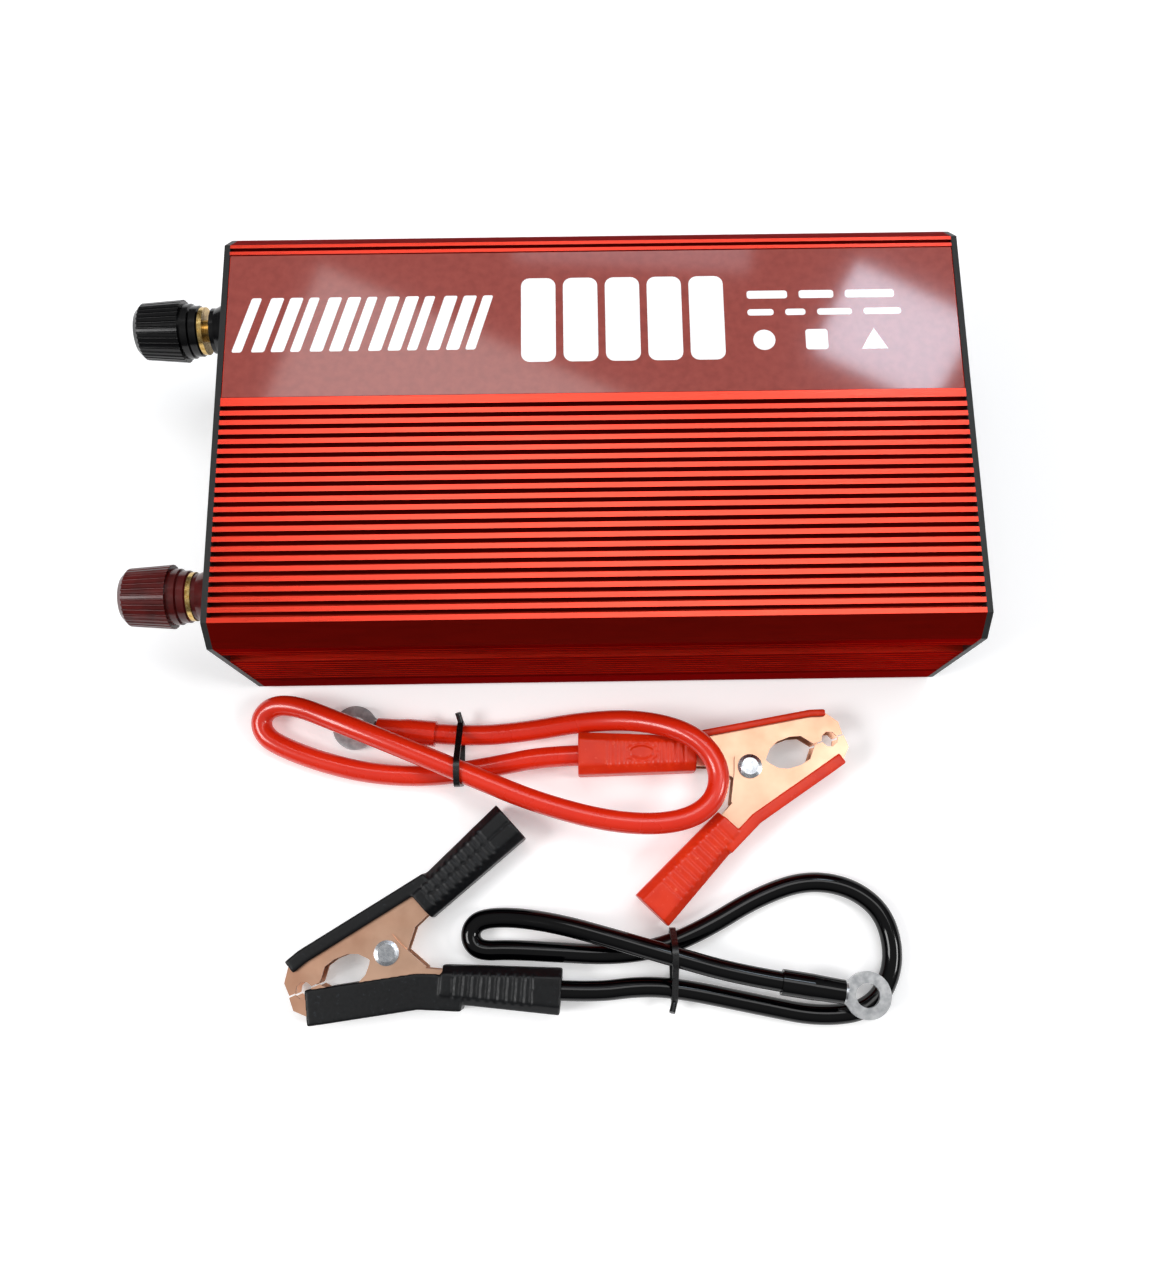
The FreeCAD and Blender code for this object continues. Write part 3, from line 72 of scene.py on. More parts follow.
def per_metre(size_mm: float) -> float:
    """Noise scale whose features are about this many millimetres across."""
    return 1000.0 / size_mm


def add_node(tree: bpy.types.NodeTree, kind: str, settings: dict[str, object] | None = None,
             inputs: NodeInputs | None = None) -> bpy.types.Node:
    """Add one shader node with its settings, socket values and incoming links.

    Args:
        tree: Node tree that gets the node.
        kind: Blender's name of the node type.
        settings: Node properties to set.
        inputs: Socket name or number, with a value or the socket that feeds it.

    Returns:
        The new node.
    """
    node = tree.nodes.new(kind)
    for name, value in (settings or {}).items():
        setattr(node, name, value)
    for key, value in (inputs or {}).items():
        if isinstance(value, bpy.types.NodeSocket):
            tree.links.new(value, node.inputs[key])
        else:
            node.inputs[key].default_value = value
    return node


@dataclass(frozen=True)
class Grain:
    """Fine relief of a surface: how wide and how deep it is, and which way it is drawn out."""

    size_mm: float = 0.8
    depth_mm: float = 0.02
    stretch: tuple[float, float, float] = (1.0, 1.0, 1.0)
    detail: float = 3.0


@dataclass(frozen=True)
class Finish:
    """A surface finish: its colours, its gloss and its grain.

    The colour drifts between `colour` and `shade` over patches of `patch_mm`, and the
    roughness drifts with the grain, so that no surface is one flat colour. `wear` is what
    shows through in small scuffs, and `glancing` tints what a very low view reflects.
    """

    name: str
    colour: str
    shade: str
    roughness: tuple[float, float] = (0.4, 0.5)
    metallic: float = 0.0
    ior: float = 1.5
    patch_mm: float = 12.0
    patch_stretch: tuple[float, float, float] = (1.0, 1.0, 1.0)
    grain: Grain = Grain()
    coat: float = 0.0
    coat_roughness: float = 0.1
    wear: str = ""
    wear_share: float = 0.0
    wear_mm: float = 2.2
    glow: float = 0.0
    clear: float = 0.0
    glancing: str = "#FFFFFF"

    def material(self) -> bpy.types.Material:
        """Build this finish once, or hand back the one that is there.

        Returns:
            The material.
        """
        made = bpy.data.materials.get(self.name)
        if made:
            return made
        made = bpy.data.materials.new(self.name)
        made.use_nodes = True
        tree = made.node_tree
        tree.nodes.clear()
        place = add_node(tree, "ShaderNodeTexCoord")
        stretched = add_node(tree, "ShaderNodeMapping", {}, {
            "Vector": place.outputs["Object"], "Scale": self.patch_stretch})
        patches = add_node(tree, "ShaderNodeTexNoise", {}, {
            "Vector": stretched.outputs["Vector"], "Scale": per_metre(self.patch_mm),
            "Detail": PATCH_DETAIL})
        drift = add_node(tree, "ShaderNodeValToRGB", {}, {"Fac": patches.outputs["Fac"]})
        for stop, position, code in zip(drift.color_ramp.elements, PATCH_BAND, (self.shade, self.colour)):
            stop.position = position
            stop.color = linear(code)
        colour = drift.outputs["Color"]
        drawn = add_node(tree, "ShaderNodeMapping", {}, {
            "Vector": place.outputs["Object"], "Scale": self.grain.stretch})
        grain = add_node(tree, "ShaderNodeTexNoise", {}, {
            "Vector": drawn.outputs["Vector"], "Scale": per_metre(self.grain.size_mm),
            "Detail": self.grain.detail})
        if self.wear:
            colour = self.worn(tree, place.outputs["Object"], colour)
        rough = add_node(tree, "ShaderNodeMapRange", {}, {
            "Value": grain.outputs["Fac"], "From Min": GRAIN_BAND[0], "From Max": GRAIN_BAND[1],
            "To Min": self.roughness[0], "To Max": self.roughness[1]})
        bump = add_node(tree, "ShaderNodeBump", {}, {
            "Height": grain.outputs["Fac"], "Distance": self.grain.depth_mm * MM})
        surface = add_node(tree, "ShaderNodeBsdfPrincipled", {}, {
            "Base Color": colour, "Roughness": rough.outputs["Result"], "Normal": bump.outputs["Normal"],
            "Metallic": self.metallic, "IOR": self.ior, "Coat Weight": self.coat,
            "Coat Roughness": self.coat_roughness, "Transmission Weight": self.clear,
            "Specular Tint": linear(self.glancing)})
        if self.glow:
            surface.inputs["Emission Color"].default_value = linear(self.colour)
            surface.inputs["Emission Strength"].default_value = self.glow
        add_node(tree, "ShaderNodeOutputMaterial", {}, {"Surface": surface.outputs["BSDF"]})
        return made

    def worn(self, tree: bpy.types.NodeTree, place: bpy.types.NodeSocket,
             colour: bpy.types.NodeSocket) -> bpy.types.NodeSocket:
        """Rub the colour through to another one in small scattered marks.

        Args:
            tree: Node tree of the material.
            place: Socket with the surface's own coordinates.
            colour: Socket with the unworn colour.

        Returns:
            Socket with the worn colour.
        """
        full_mark = 0.72
        edge_width = 0.1 + 0.1 * self.wear_share
        marks = add_node(tree, "ShaderNodeTexNoise", {}, {
            "Vector": place, "Scale": per_metre(self.wear_mm), "Detail": 8.0, "Roughness": 0.7})
        edge = add_node(tree, "ShaderNodeMapRange", {}, {
            "Value": marks.outputs["Fac"], "From Min": full_mark - edge_width,
            "From Max": full_mark, "To Min": 0.0, "To Max": 1.0})
        mixed = add_node(tree, "ShaderNodeMix", {"data_type": "RGBA"}, {
            0: edge.outputs["Result"], 6: colour, 7: linear(self.wear)})
        return mixed.outputs[2]


# ---------------------------------------------------------------- finishes of the case
# Anodised aluminium: extruded, so faint die lines run its length; the sealed oxide is a thin
# clear coat that lays a pale sheen over the dyed red.
ANODISED_RED = Finish(
    "anodised aluminium, red", "#EE3F28", "#E6371F", roughness=(0.24, 0.38), metallic=0.9,
    patch_mm=30.0, patch_stretch=(0.15, 1.0, 1.0),
    grain=Grain(0.5, 0.010, (0.03, 1.0, 1.0), 4.0), coat=0.4, coat_roughness=0.25)
# The same anodised aluminium on the walls that stand up, with painted shade: a darker red
# and a dark red tint on its glancing reflections make these walls read shaded beside the tops.
ANODISED_WALL_SHADE = Finish(
    "anodised aluminium, painted wall shade", "#901810", "#83140D", roughness=(0.28, 0.42), metallic=1.0,
    patch_mm=30.0, patch_stretch=(0.15, 1.0, 1.0),
    grain=Grain(0.5, 0.010, (0.03, 1.0, 1.0), 4.0), glancing="#A01008")
# Powder-coated steel: fine bumps and a soft satin black.
BLACK_STEEL = Finish(
    "powder-coated steel, black", "#0A0A0A", "#070707", roughness=(0.5, 0.62), metallic=0.0,
    grain=Grain(0.35, 0.02))
# Black oxide on the screws: dark, slightly oily metal.
BLACK_OXIDE = Finish(
    "black-oxide steel", "#2A2A2C", "#161617", roughness=(0.3, 0.45), metallic=1.0, patch_mm=2.0,
    grain=Grain(0.3, 0.006))
# Zinc plating: cool bright metal with faint cloudy patches.
ZINC = Finish(
    "zinc-plated steel", "#D5D7DA", "#AEB2B8", roughness=(0.2, 0.34), metallic=1.0, patch_mm=2.5,
    grain=Grain(0.25, 0.004))
# Polyester label film under a glossy laminate: printed maroon, and a slight orange-peel skin.
LABEL_FILM = Finish(
    "laminated polyester film, maroon", "#96433B", "#8B3C35", roughness=(0.20, 0.26), patch_mm=3.0,
    ior=1.15, grain=Grain(1.6, 0.012, (1.0, 1.0, 1.0), 5.0), coat=1.0, coat_roughness=0.07)
# Screen-printed white ink on the film: opaque and a little duller than the laminate.
WHITE_INK = Finish(
    "screen ink, white", "#FFFFFF", "#F4F4F6", roughness=(0.28, 0.36), patch_mm=4.0,
    grain=Grain(1.6, 0.008), coat=0.4, coat_roughness=0.12)


# ---------------------------------------------------------------- finishes of the posts and ends
# Phenolic moulding: hard, dense plastic with a deep polish on the smooth band.
PHENOLIC_BLACK = Finish(
    "phenolic moulding, black", "#040405", "#020203", roughness=(0.14, 0.22), patch_mm=6.0, ior=1.4,
    grain=Grain(0.9, 0.004))
PHENOLIC_MAROON = Finish(
    "phenolic moulding, maroon", "#581210", "#460D0B", roughness=(0.16, 0.24), patch_mm=6.0, ior=1.45,
    grain=Grain(0.9, 0.004))
# Turned brass: warm, bright, with tool rings round the axis.
BRASS = Finish(
    "turned brass", "#E3C583", "#B9924C", roughness=(0.18, 0.3), metallic=1.0, patch_mm=1.5,
    grain=Grain(0.3, 0.006, (6.0, 1.0, 1.0)))
# Glass-filled nylon of the outlet, switch and fan: satin black with a faint spark-eroded skin.
NYLON_BLACK = Finish(
    "glass-filled nylon, black", "#17171A", "#101012", roughness=(0.35, 0.5), patch_mm=5.0,
    grain=Grain(0.4, 0.02))
# Moulded ABS of the rocker's button: an even red under a smooth, glossy skin.
ABS_RED = Finish(
    "ABS, red", "#A3120E", "#8F0F0B", roughness=(0.18, 0.26), patch_mm=8.0, grain=Grain(1.0, 0.004))
# Polycarbonate of the status lights: clear green lens with a little light in it.
LENS = Finish(
    "polycarbonate, green", "#3FBF58", "#2E9A46", roughness=(0.08, 0.14), patch_mm=2.0, clear=0.35,
    ior=1.585, glow=0.15, grain=Grain(0.8, 0.003))


# ---------------------------------------------------------------- finishes of the leads
# Plasticised PVC: wet-looking skin with long faint waves from the extruder.
PVC_RED = Finish(
    "PVC, red", "#E32C0E", "#DC270C", roughness=(0.26, 0.30), patch_mm=20.0, ior=1.4,
    grain=Grain(9.0, 0.03), coat=0.5, coat_roughness=0.12)
PVC_BLACK = Finish(
    "PVC, black", "#020203", "#010102", roughness=(0.07, 0.11), patch_mm=20.0, ior=1.36,
    grain=Grain(9.0, 0.03))
# Dip-moulded PVC of the grips: softer gloss, slight orange peel, scuffs where it is handled.
GRIP_RED = Finish(
    "dip-moulded PVC, red", "#DC330E", "#D22B0B", roughness=(0.3, 0.42), patch_mm=7.0, ior=1.4,
    grain=Grain(1.1, 0.03), wear="#EC6448", wear_share=0.15)
GRIP_BLACK = Finish(
    "dip-moulded PVC, black", "#05070A", "#030406", roughness=(0.36, 0.5), patch_mm=7.0, ior=1.36,
    grain=Grain(1.1, 0.035), wear="#23282E", wear_share=0.2)
# Copper-flashed pressed steel: peach metal, darker where it was bent or rubbed.
COPPER_FLASH = Finish(
    "copper-flashed steel", "#E9BEA2", "#CF9C80", roughness=(0.29, 0.33), metallic=1.0, patch_mm=22.0,
    grain=Grain(6.0, 0.002))
# Tinned copper of the ring terminals: dull silver.
TINNED = Finish(
    "tinned copper", "#C9CACB", "#A3A5A8", roughness=(0.3, 0.45), metallic=1.0, patch_mm=2.5,
    grain=Grain(0.3, 0.01))
# Nylon 6.6 of the ties: nearly black, waxy gloss.
NYLON_TIE = Finish(
    "nylon 6.6, black", "#0D0D0E", "#080809", roughness=(0.25, 0.35), patch_mm=3.0, grain=Grain(0.6, 0.01))
# Blued spring steel: dark blue-grey metal with a dull shine.
SPRING_STEEL = Finish(
    "spring steel", "#6B6F76", "#4A4E55", roughness=(0.3, 0.42), metallic=1.0, patch_mm=3.0,
    grain=Grain(0.3, 0.006))


# ---------------------------------------------------------------- finishes inside the case
# Epoxy-glass board under a green solder mask: a glassy green skin, a little uneven.
BOARD = Finish("epoxy-glass board", "#1F5B33", "#184A29", roughness=(0.25, 0.35), patch_mm=5.0,
               grain=Grain(0.7, 0.02), coat=0.3)
# Sintered ferrite: dark grey ceramic with a matt, pitted skin.
FERRITE = Finish("sintered ferrite", "#3A3A3C", "#2A2A2C", roughness=(0.55, 0.7), patch_mm=3.0,
                 grain=Grain(0.5, 0.03))
# Polyester winding tape: pale yellow and shiny.
WINDING_TAPE = Finish("polyester winding tape", "#E4BC3A", "#D0A62C", roughness=(0.2, 0.3), patch_mm=4.0,
                      grain=Grain(0.8, 0.02), coat=0.3)
# Shrunk PVC sleeve on the capacitors' cans: taut, dark blue and shiny.
CAN_SLEEVE = Finish("shrunk PVC sleeve", "#1D2A55", "#162046", roughness=(0.22, 0.3), patch_mm=4.0,
                    grain=Grain(1.5, 0.02), coat=0.3)
# Blade fuse body of tinted polycarbonate: some light comes through the green.
FUSE_BODY = Finish("polycarbonate, green tint", "#2C9E4F", "#228341", roughness=(0.12, 0.2), patch_mm=3.0,
                   grain=Grain(0.8, 0.004), clear=0.3, ior=1.585)
# Bare copper bar: warm metal, browner where it has been handled.
COPPER = Finish("bare copper", "#D98C66", "#B96E4A", roughness=(0.26, 0.4), metallic=1.0, patch_mm=5.0,
                grain=Grain(0.4, 0.006))
# Epoxy package of the transistors: matt black with a fine moulded skin.
EPOXY = Finish("moulded epoxy", "#202022", "#17171A", roughness=(0.45, 0.6), patch_mm=3.0,
               grain=Grain(0.3, 0.015))


# ---------------------------------------------------------------- routes of the cables, in metres
# From inside the grip that carries the cable to inside the terminal's sleeve.
RED_ROUTE = (
    (0.00580, -0.10340, 0.00740), (-0.01750, -0.10310, 0.00740), (-0.04020, -0.10720, 0.00540),
    (-0.06260, -0.11040, 0.00540), (-0.08510, -0.10880, 0.00440), (-0.10400, -0.10380, 0.00420),
    (-0.11800, -0.09830, 0.00420), (-0.12500, -0.09400, 0.00420), (-0.12700, -0.08750, 0.00460),
    (-0.12200, -0.08260, 0.00600), (-0.11200, -0.08350, 0.00860), (-0.09690, -0.09000, 0.01300),
    (-0.07400, -0.09960, 0.01560), (-0.04770, -0.11080, 0.01660), (-0.02160, -0.12200, 0.01780),
    (0.00600, -0.12960, 0.01920), (0.02850, -0.13000, 0.01940), (0.04180, -0.12300, 0.01940),
    (0.04440, -0.11000, 0.01940), (0.03550, -0.09800, 0.01940), (0.01700, -0.09120, 0.01260),
    (-0.00400, -0.09040, 0.00620), (-0.02700, -0.09400, 0.00520), (-0.04850, -0.09550, 0.00540),
    (-0.06950, -0.09340, 0.00540),
)
BLACK_ROUTE = (
    (-0.02720, -0.18635, 0.00740), (-0.00420, -0.18820, 0.00740), (0.01400, -0.18620, 0.00540),
    (0.02900, -0.18740, 0.00500), (0.05680, -0.19340, 0.00390), (0.07800, -0.19780, 0.00380),
    (0.09700, -0.19540, 0.00380), (0.10600, -0.18060, 0.00380), (0.10400, -0.16300, 0.00380),
    (0.09260, -0.15280, 0.00380), (0.07600, -0.14980, 0.00380), (0.05800, -0.15540, 0.00380),
    (0.03800, -0.16660, 0.00490), (0.02200, -0.17320, 0.00500), (0.00400, -0.17540, 0.00460),
    (-0.01500, -0.17420, 0.00400), (-0.03300, -0.17300, 0.00390), (-0.04320, -0.17330, 0.00390),
    (-0.04690, -0.16990, 0.00390), (-0.04670, -0.16500, 0.00390), (-0.04260, -0.16190, 0.00420),
    (-0.03100, -0.16160, 0.00580), (-0.01450, -0.16420, 0.00960), (0.00600, -0.17000, 0.01390),
    (0.02600, -0.17600, 0.01440), (0.05000, -0.18280, 0.01280), (0.07230, -0.18660, 0.01280),
)


# ---------------------------------------------------------------- making and dressing pieces
class Body(Enum):
    """Bodies of the frame that pieces ride on."""

    CASE = "case"
    RED_LEAD = "red_lead"
    RED_ARM = "red_clamp_arm"
    BLACK_LEAD = "black_lead"
    BLACK_ARM = "black_clamp_arm"


def dress(node: str, finish: Finish) -> None:
    """Give a frame node its finish.

    Args:
        node: Name of the node.
        finish: Finish that goes on all of it.
    """
    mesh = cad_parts[node].data
    mesh.materials.clear()
    mesh.materials.append(finish.material())
    log.info("%s: %s", node, finish.name)


def paint_wall_shade(node: str, finish: Finish, share: float = 0.3) -> None:
    """Paint shade on the faces of a node that look sideways: a darker finish than its tops.

    Args:
        node: Name of the node, which is dressed already.
        finish: Finish of the walls, with the painted shade.
        share: Least sideways share of a face's direction that makes it a wall.
    """
    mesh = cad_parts[node].data
    mesh.materials.append(finish.material())
    shade_slot = len(mesh.materials) - 1
    # Faces that look sideways get the painted shade.
    for face in mesh.polygons:
        if abs(face.normal.y) > share:
            face.material_index = shade_slot


def break_edges(node: str, width_mm: float, segments: int = 2, least_deg: float = 35.0) -> None:
    """Round a frame node's sharp edges a little, as tooling leaves them.

    Args:
        node: Name of the node.
        width_mm: Width of the rounding.
        segments: Steps across it.
        least_deg: Least turn between two faces that counts as an edge.
    """
    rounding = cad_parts[node].modifiers.new("broken edge", "BEVEL")
    rounding.width = width_mm * MM
    rounding.segments = segments
    rounding.limit_method = "ANGLE"
    rounding.angle_limit = math.radians(least_deg)
    rounding.use_clamp_overlap = True
    rounding.harden_normals = False


def place_piece(name: str, mesh: bpy.types.Mesh | bpy.types.Curve, finish: Finish, body: Body) -> bpy.types.Object:
    """Put a made piece into the scene, dressed, and let it ride on its body.

    Args:
        name: Name of the piece.
        mesh: Its mesh or curve, in the frame's own place.
        finish: Its finish.
        body: The body it rides on.

    Returns:
        The new object.
    """
    piece = bpy.data.objects.new(name, mesh)
    bpy.context.scene.collection.objects.link(piece)
    mesh.materials.clear()
    mesh.materials.append(finish.material())
    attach(piece, body.value)
    log.info("%s: %s on %s", name, finish.name, body.value)
    return piece


def close_mesh(name: str, build: bmesh.types.BMesh) -> bpy.types.Mesh:
    """Turn a working mesh into a finished one with its faces looking outwards.

    Args:
        name: Name of the mesh.
        build: The working mesh, which is freed.

    Returns:
        The mesh.
    """
    bmesh.ops.recalc_face_normals(build, faces=build.faces)
    mesh = bpy.data.meshes.new(name)
    build.to_mesh(mesh)
    build.free()
    return mesh


def raise_outline(build: bmesh.types.BMesh, outline: list[tuple[float, float]], low: float,
                  high: float) -> None:
    """Add a flat shape with straight sides between two heights.

    Args:
        build: Working mesh that gets the shape.
        outline: Corners of the shape in millimetres, seen from above.
        low: Height of its underside in metres.
        high: Height of its top in metres.
    """
    under = [build.verts.new((x * MM, y * MM, low)) for x, y in outline]
    over = [build.verts.new((x * MM, y * MM, high)) for x, y in outline]
    build.faces.new(over)
    build.faces.new(under[::-1])
    for i in range(len(outline)):
        j = (i + 1) % len(outline)
        build.faces.new((under[i], under[j], over[j], over[i]))


def rounded_block(x: float, y: float, width: float, height: float, corner: float,
                  lean: float = 0.0, steps: int = 5) -> list[tuple[float, float]]:
    """Outline of a block with rounded corners, leaning over if it is printed slanted.

    Args:
        x: Left end of its foot, in millimetres.
        y: Its foot.
        width: How wide it is.
        height: How tall it is.
        corner: Radius of its corners.
        lean: How far its top is shifted for each millimetre of height.
        steps: Straight steps round each corner.

    Returns:
        Corners of the outline.
    """
    outline = []
    centres = ((width - corner, corner, -90), (width - corner, height - corner, 0),
               (corner, height - corner, 90), (corner, corner, 180))
    for cx, cy, start in centres:
        for step in range(steps + 1):
            turn = math.radians(start + 90 * step / steps)
            across = cx + corner * math.cos(turn)
            up = cy + corner * math.sin(turn)
            outline.append((x + across + lean * up, y + up))
    return outline


# ---------------------------------------------------------------- camera, floor and lights
@dataclass(frozen=True)
class SoftBox:
    """One rectangular studio light: its place, aim and size in metres and its power in watts."""

    name: str
    place: tuple[float, float, float]
    aim: tuple[float, float, float]
    size: tuple[float, float]
    power: float
    tint: str = "#FFFFFF"

    def hang(self) -> None:
        """Put the light up."""
        lamp = bpy.data.lights.new(self.name, "AREA")
        lamp.shape = "RECTANGLE"
        lamp.size, lamp.size_y = self.size
        lamp.energy = self.power
        lamp.color = linear(self.tint)[:3]
        holder = bpy.data.objects.new(self.name, lamp)
        bpy.context.scene.collection.objects.link(holder)
        holder.location = self.place
        toward = Vector(self.aim) - Vector(self.place)
        holder.rotation_euler = toward.to_track_quat("-Z", "Y").to_euler()


@dataclass(frozen=True)
class Studio:
    """Camera, pale floor and soft light, in metres."""

    eye: tuple[float, float, float] = (-0.00445, -0.16197, 0.43683)
    forward: tuple[float, float, float] = (0.003585, 0.232479, -0.972595)
    up: tuple[float, float, float] = (0.014053, 0.972493, 0.232507)
    lens_mm: float = 32.6
    sensor_mm: float = 36.0
    nearest: float = 0.01
    floor_half: float = 3.0
    floor_level: float = -0.0001
    room_light: float = 0.40
    room_colours: tuple[str, str] = ("#8C8C90", "#FFFFFF")
    room_heights: tuple[float, float] = (0.15, 0.85)
    boxes: tuple[SoftBox, ...] = (
        SoftBox("key", (-1.2, -0.35, 1.2), (0.0, -0.1, 0.0), (0.6, 0.6), 14.0),
        SoftBox("over fins", (0.15, 0.28, 1.2), (0.0, -0.03, 0.075), (1.3, 0.36), 4.8),
        SoftBox("label glint", (0.40, 0.56, 1.07), (0.105, 0.03, 0.075), (0.17, 0.12), 0.85, "#DDEEFF"),
        SoftBox("window", (0.07, 0.745, 1.08), (0.02, 0.06, 0.075), (0.32, 0.13), 0.3, "#F0F4FF"),
        SoftBox("side fill", (1.3, -0.3, 1.1), (0.0, -0.1, 0.0), (0.4, 0.4), 8.0),
    )

    def set_camera(self) -> None:
        """Set up the camera: above the leads, looking down past them at the case."""
        data = bpy.data.cameras.new("camera")
        data.lens = self.lens_mm
        data.sensor_fit = "VERTICAL"
        data.sensor_height = self.sensor_mm
        data.clip_start = self.nearest
        camera = bpy.data.objects.new("camera", data)
        bpy.context.scene.collection.objects.link(camera)
        back = -Vector(self.forward).normalized()
        right = Vector(self.up).cross(back).normalized()
        over = back.cross(right)
        turn = Matrix((right, over, back)).transposed().to_4x4()
        camera.matrix_world = Matrix.Translation(self.eye) @ turn
        bpy.context.scene.camera = camera

    def lay_floor(self) -> None:
        """Lay the white table that the object stands on; a little light comes up through it."""
        build = bmesh.new()
        half = self.floor_half
        outline = ((-half, -half), (half, -half), (half, half), (-half, half))
        build.faces.new([build.verts.new((x, y, self.floor_level)) for x, y in outline])
        floor = bpy.data.objects.new("floor", close_mesh("floor", build))
        bpy.context.scene.collection.objects.link(floor)
        # Opal acrylic with light behind it: even white, without a shine.
        opal = Finish("lit white table", "#FAFAFA", "#F7F7F8", roughness=(0.7, 0.8), patch_mm=300.0,
                      glow=0.25)
        floor.data.materials.append(opal.material())

    def light(self) -> None:
        """Light the room: bright overhead, greyer towards the walls, and the soft boxes."""
        world = bpy.data.worlds.new("room")
        bpy.context.scene.world = world
        world.use_nodes = True
        tree = world.node_tree
        tree.nodes.clear()
        place = add_node(tree, "ShaderNodeTexCoord")
        parts = add_node(tree, "ShaderNodeSeparateXYZ", {}, {0: place.outputs["Generated"]})
        ramp = add_node(tree, "ShaderNodeValToRGB", {}, {"Fac": parts.outputs["Z"]})
        for stop, position, code in zip(ramp.color_ramp.elements, self.room_heights, self.room_colours):
            stop.position = position
            stop.color = linear(code)
        sky = add_node(tree, "ShaderNodeBackground", {}, {
            "Color": ramp.outputs["Color"], "Strength": self.room_light})
        add_node(tree, "ShaderNodeOutputWorld", {}, {"Surface": sky.outputs["Background"]})
        for box in self.boxes:
            box.hang()
        bpy.context.scene.view_settings.view_transform = "Standard"

    def build(self) -> None:
        """Set up the whole studio."""
        self.set_camera()
        self.lay_floor()
        self.light()


# ---------------------------------------------------------------- cables of the leads
@dataclass(frozen=True)
class Cable:
    """One battery cable, lying loose in a loop with its bundle tied; sizes and route in metres."""

    colour: str
    body: Body
    finish: Finish
    route: tuple[tuple[float, float, float], ...]
    exit: tuple[float, float, float]
    length: float
    diameter: float
    slot: str
    steps_round: int = 7
    steps_along: int = 14

    def build(self) -> bpy.types.Object:
        """Returns:
            The cable.
        """
        name = self.colour + "_cable_run"
        line = bpy.data.curves.new(name, "CURVE")
        line.dimensions = "3D"
        line.bevel_depth = self.diameter / 2
        line.bevel_resolution = self.steps_round
        line.resolution_u = self.steps_along
        line.use_fill_caps = True
        spline = line.splines.new("NURBS")
        spline.points.add(len(self.route) - 1)
        for point, place in zip(spline.points, self.route):
            point.co = (*place, 1.0)
        spline.order_u = 3
        spline.use_endpoint_u = True
        spline.use_smooth = True
        cable = place_piece(name, line, self.finish, self.body)
        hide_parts(self.colour + "_cable")
        return cable


# ---------------------------------------------------------------- moulded grips of the clamps
class Handle(Enum):
    """The two handles of a clamp, with where each starts and ends from the rivet, in millimetres."""

    INNER = ((-12.0, 9.4), (-58.0, 25.0))
    OUTER = ((-9.0, -15.0), (-51.0, -37.0))


@dataclass(frozen=True)
class ClampPlace:
    """Where a clamp lies: its rivet, how it is turned, and whether it lies on its other face."""

    rivet: tuple[float, float]
    turn_deg: float
    turned_over: bool
    height: float = 7.4

    def point(self, x: float, y: float) -> Vector:
        """Take a point from the clamp's own drawing to its place, in millimetres.

        Args:
            x: Distance from the rivet towards the tips.
            y: Distance to the left of that line.

        Returns:
            The place of the point.
        """
        side = -y if self.turned_over else y
        turn = math.radians(self.turn_deg)
        return Vector((self.rivet[0] + x * math.cos(turn) - side * math.sin(turn),
                       self.rivet[1] + x * math.sin(turn) + side * math.cos(turn), self.height))


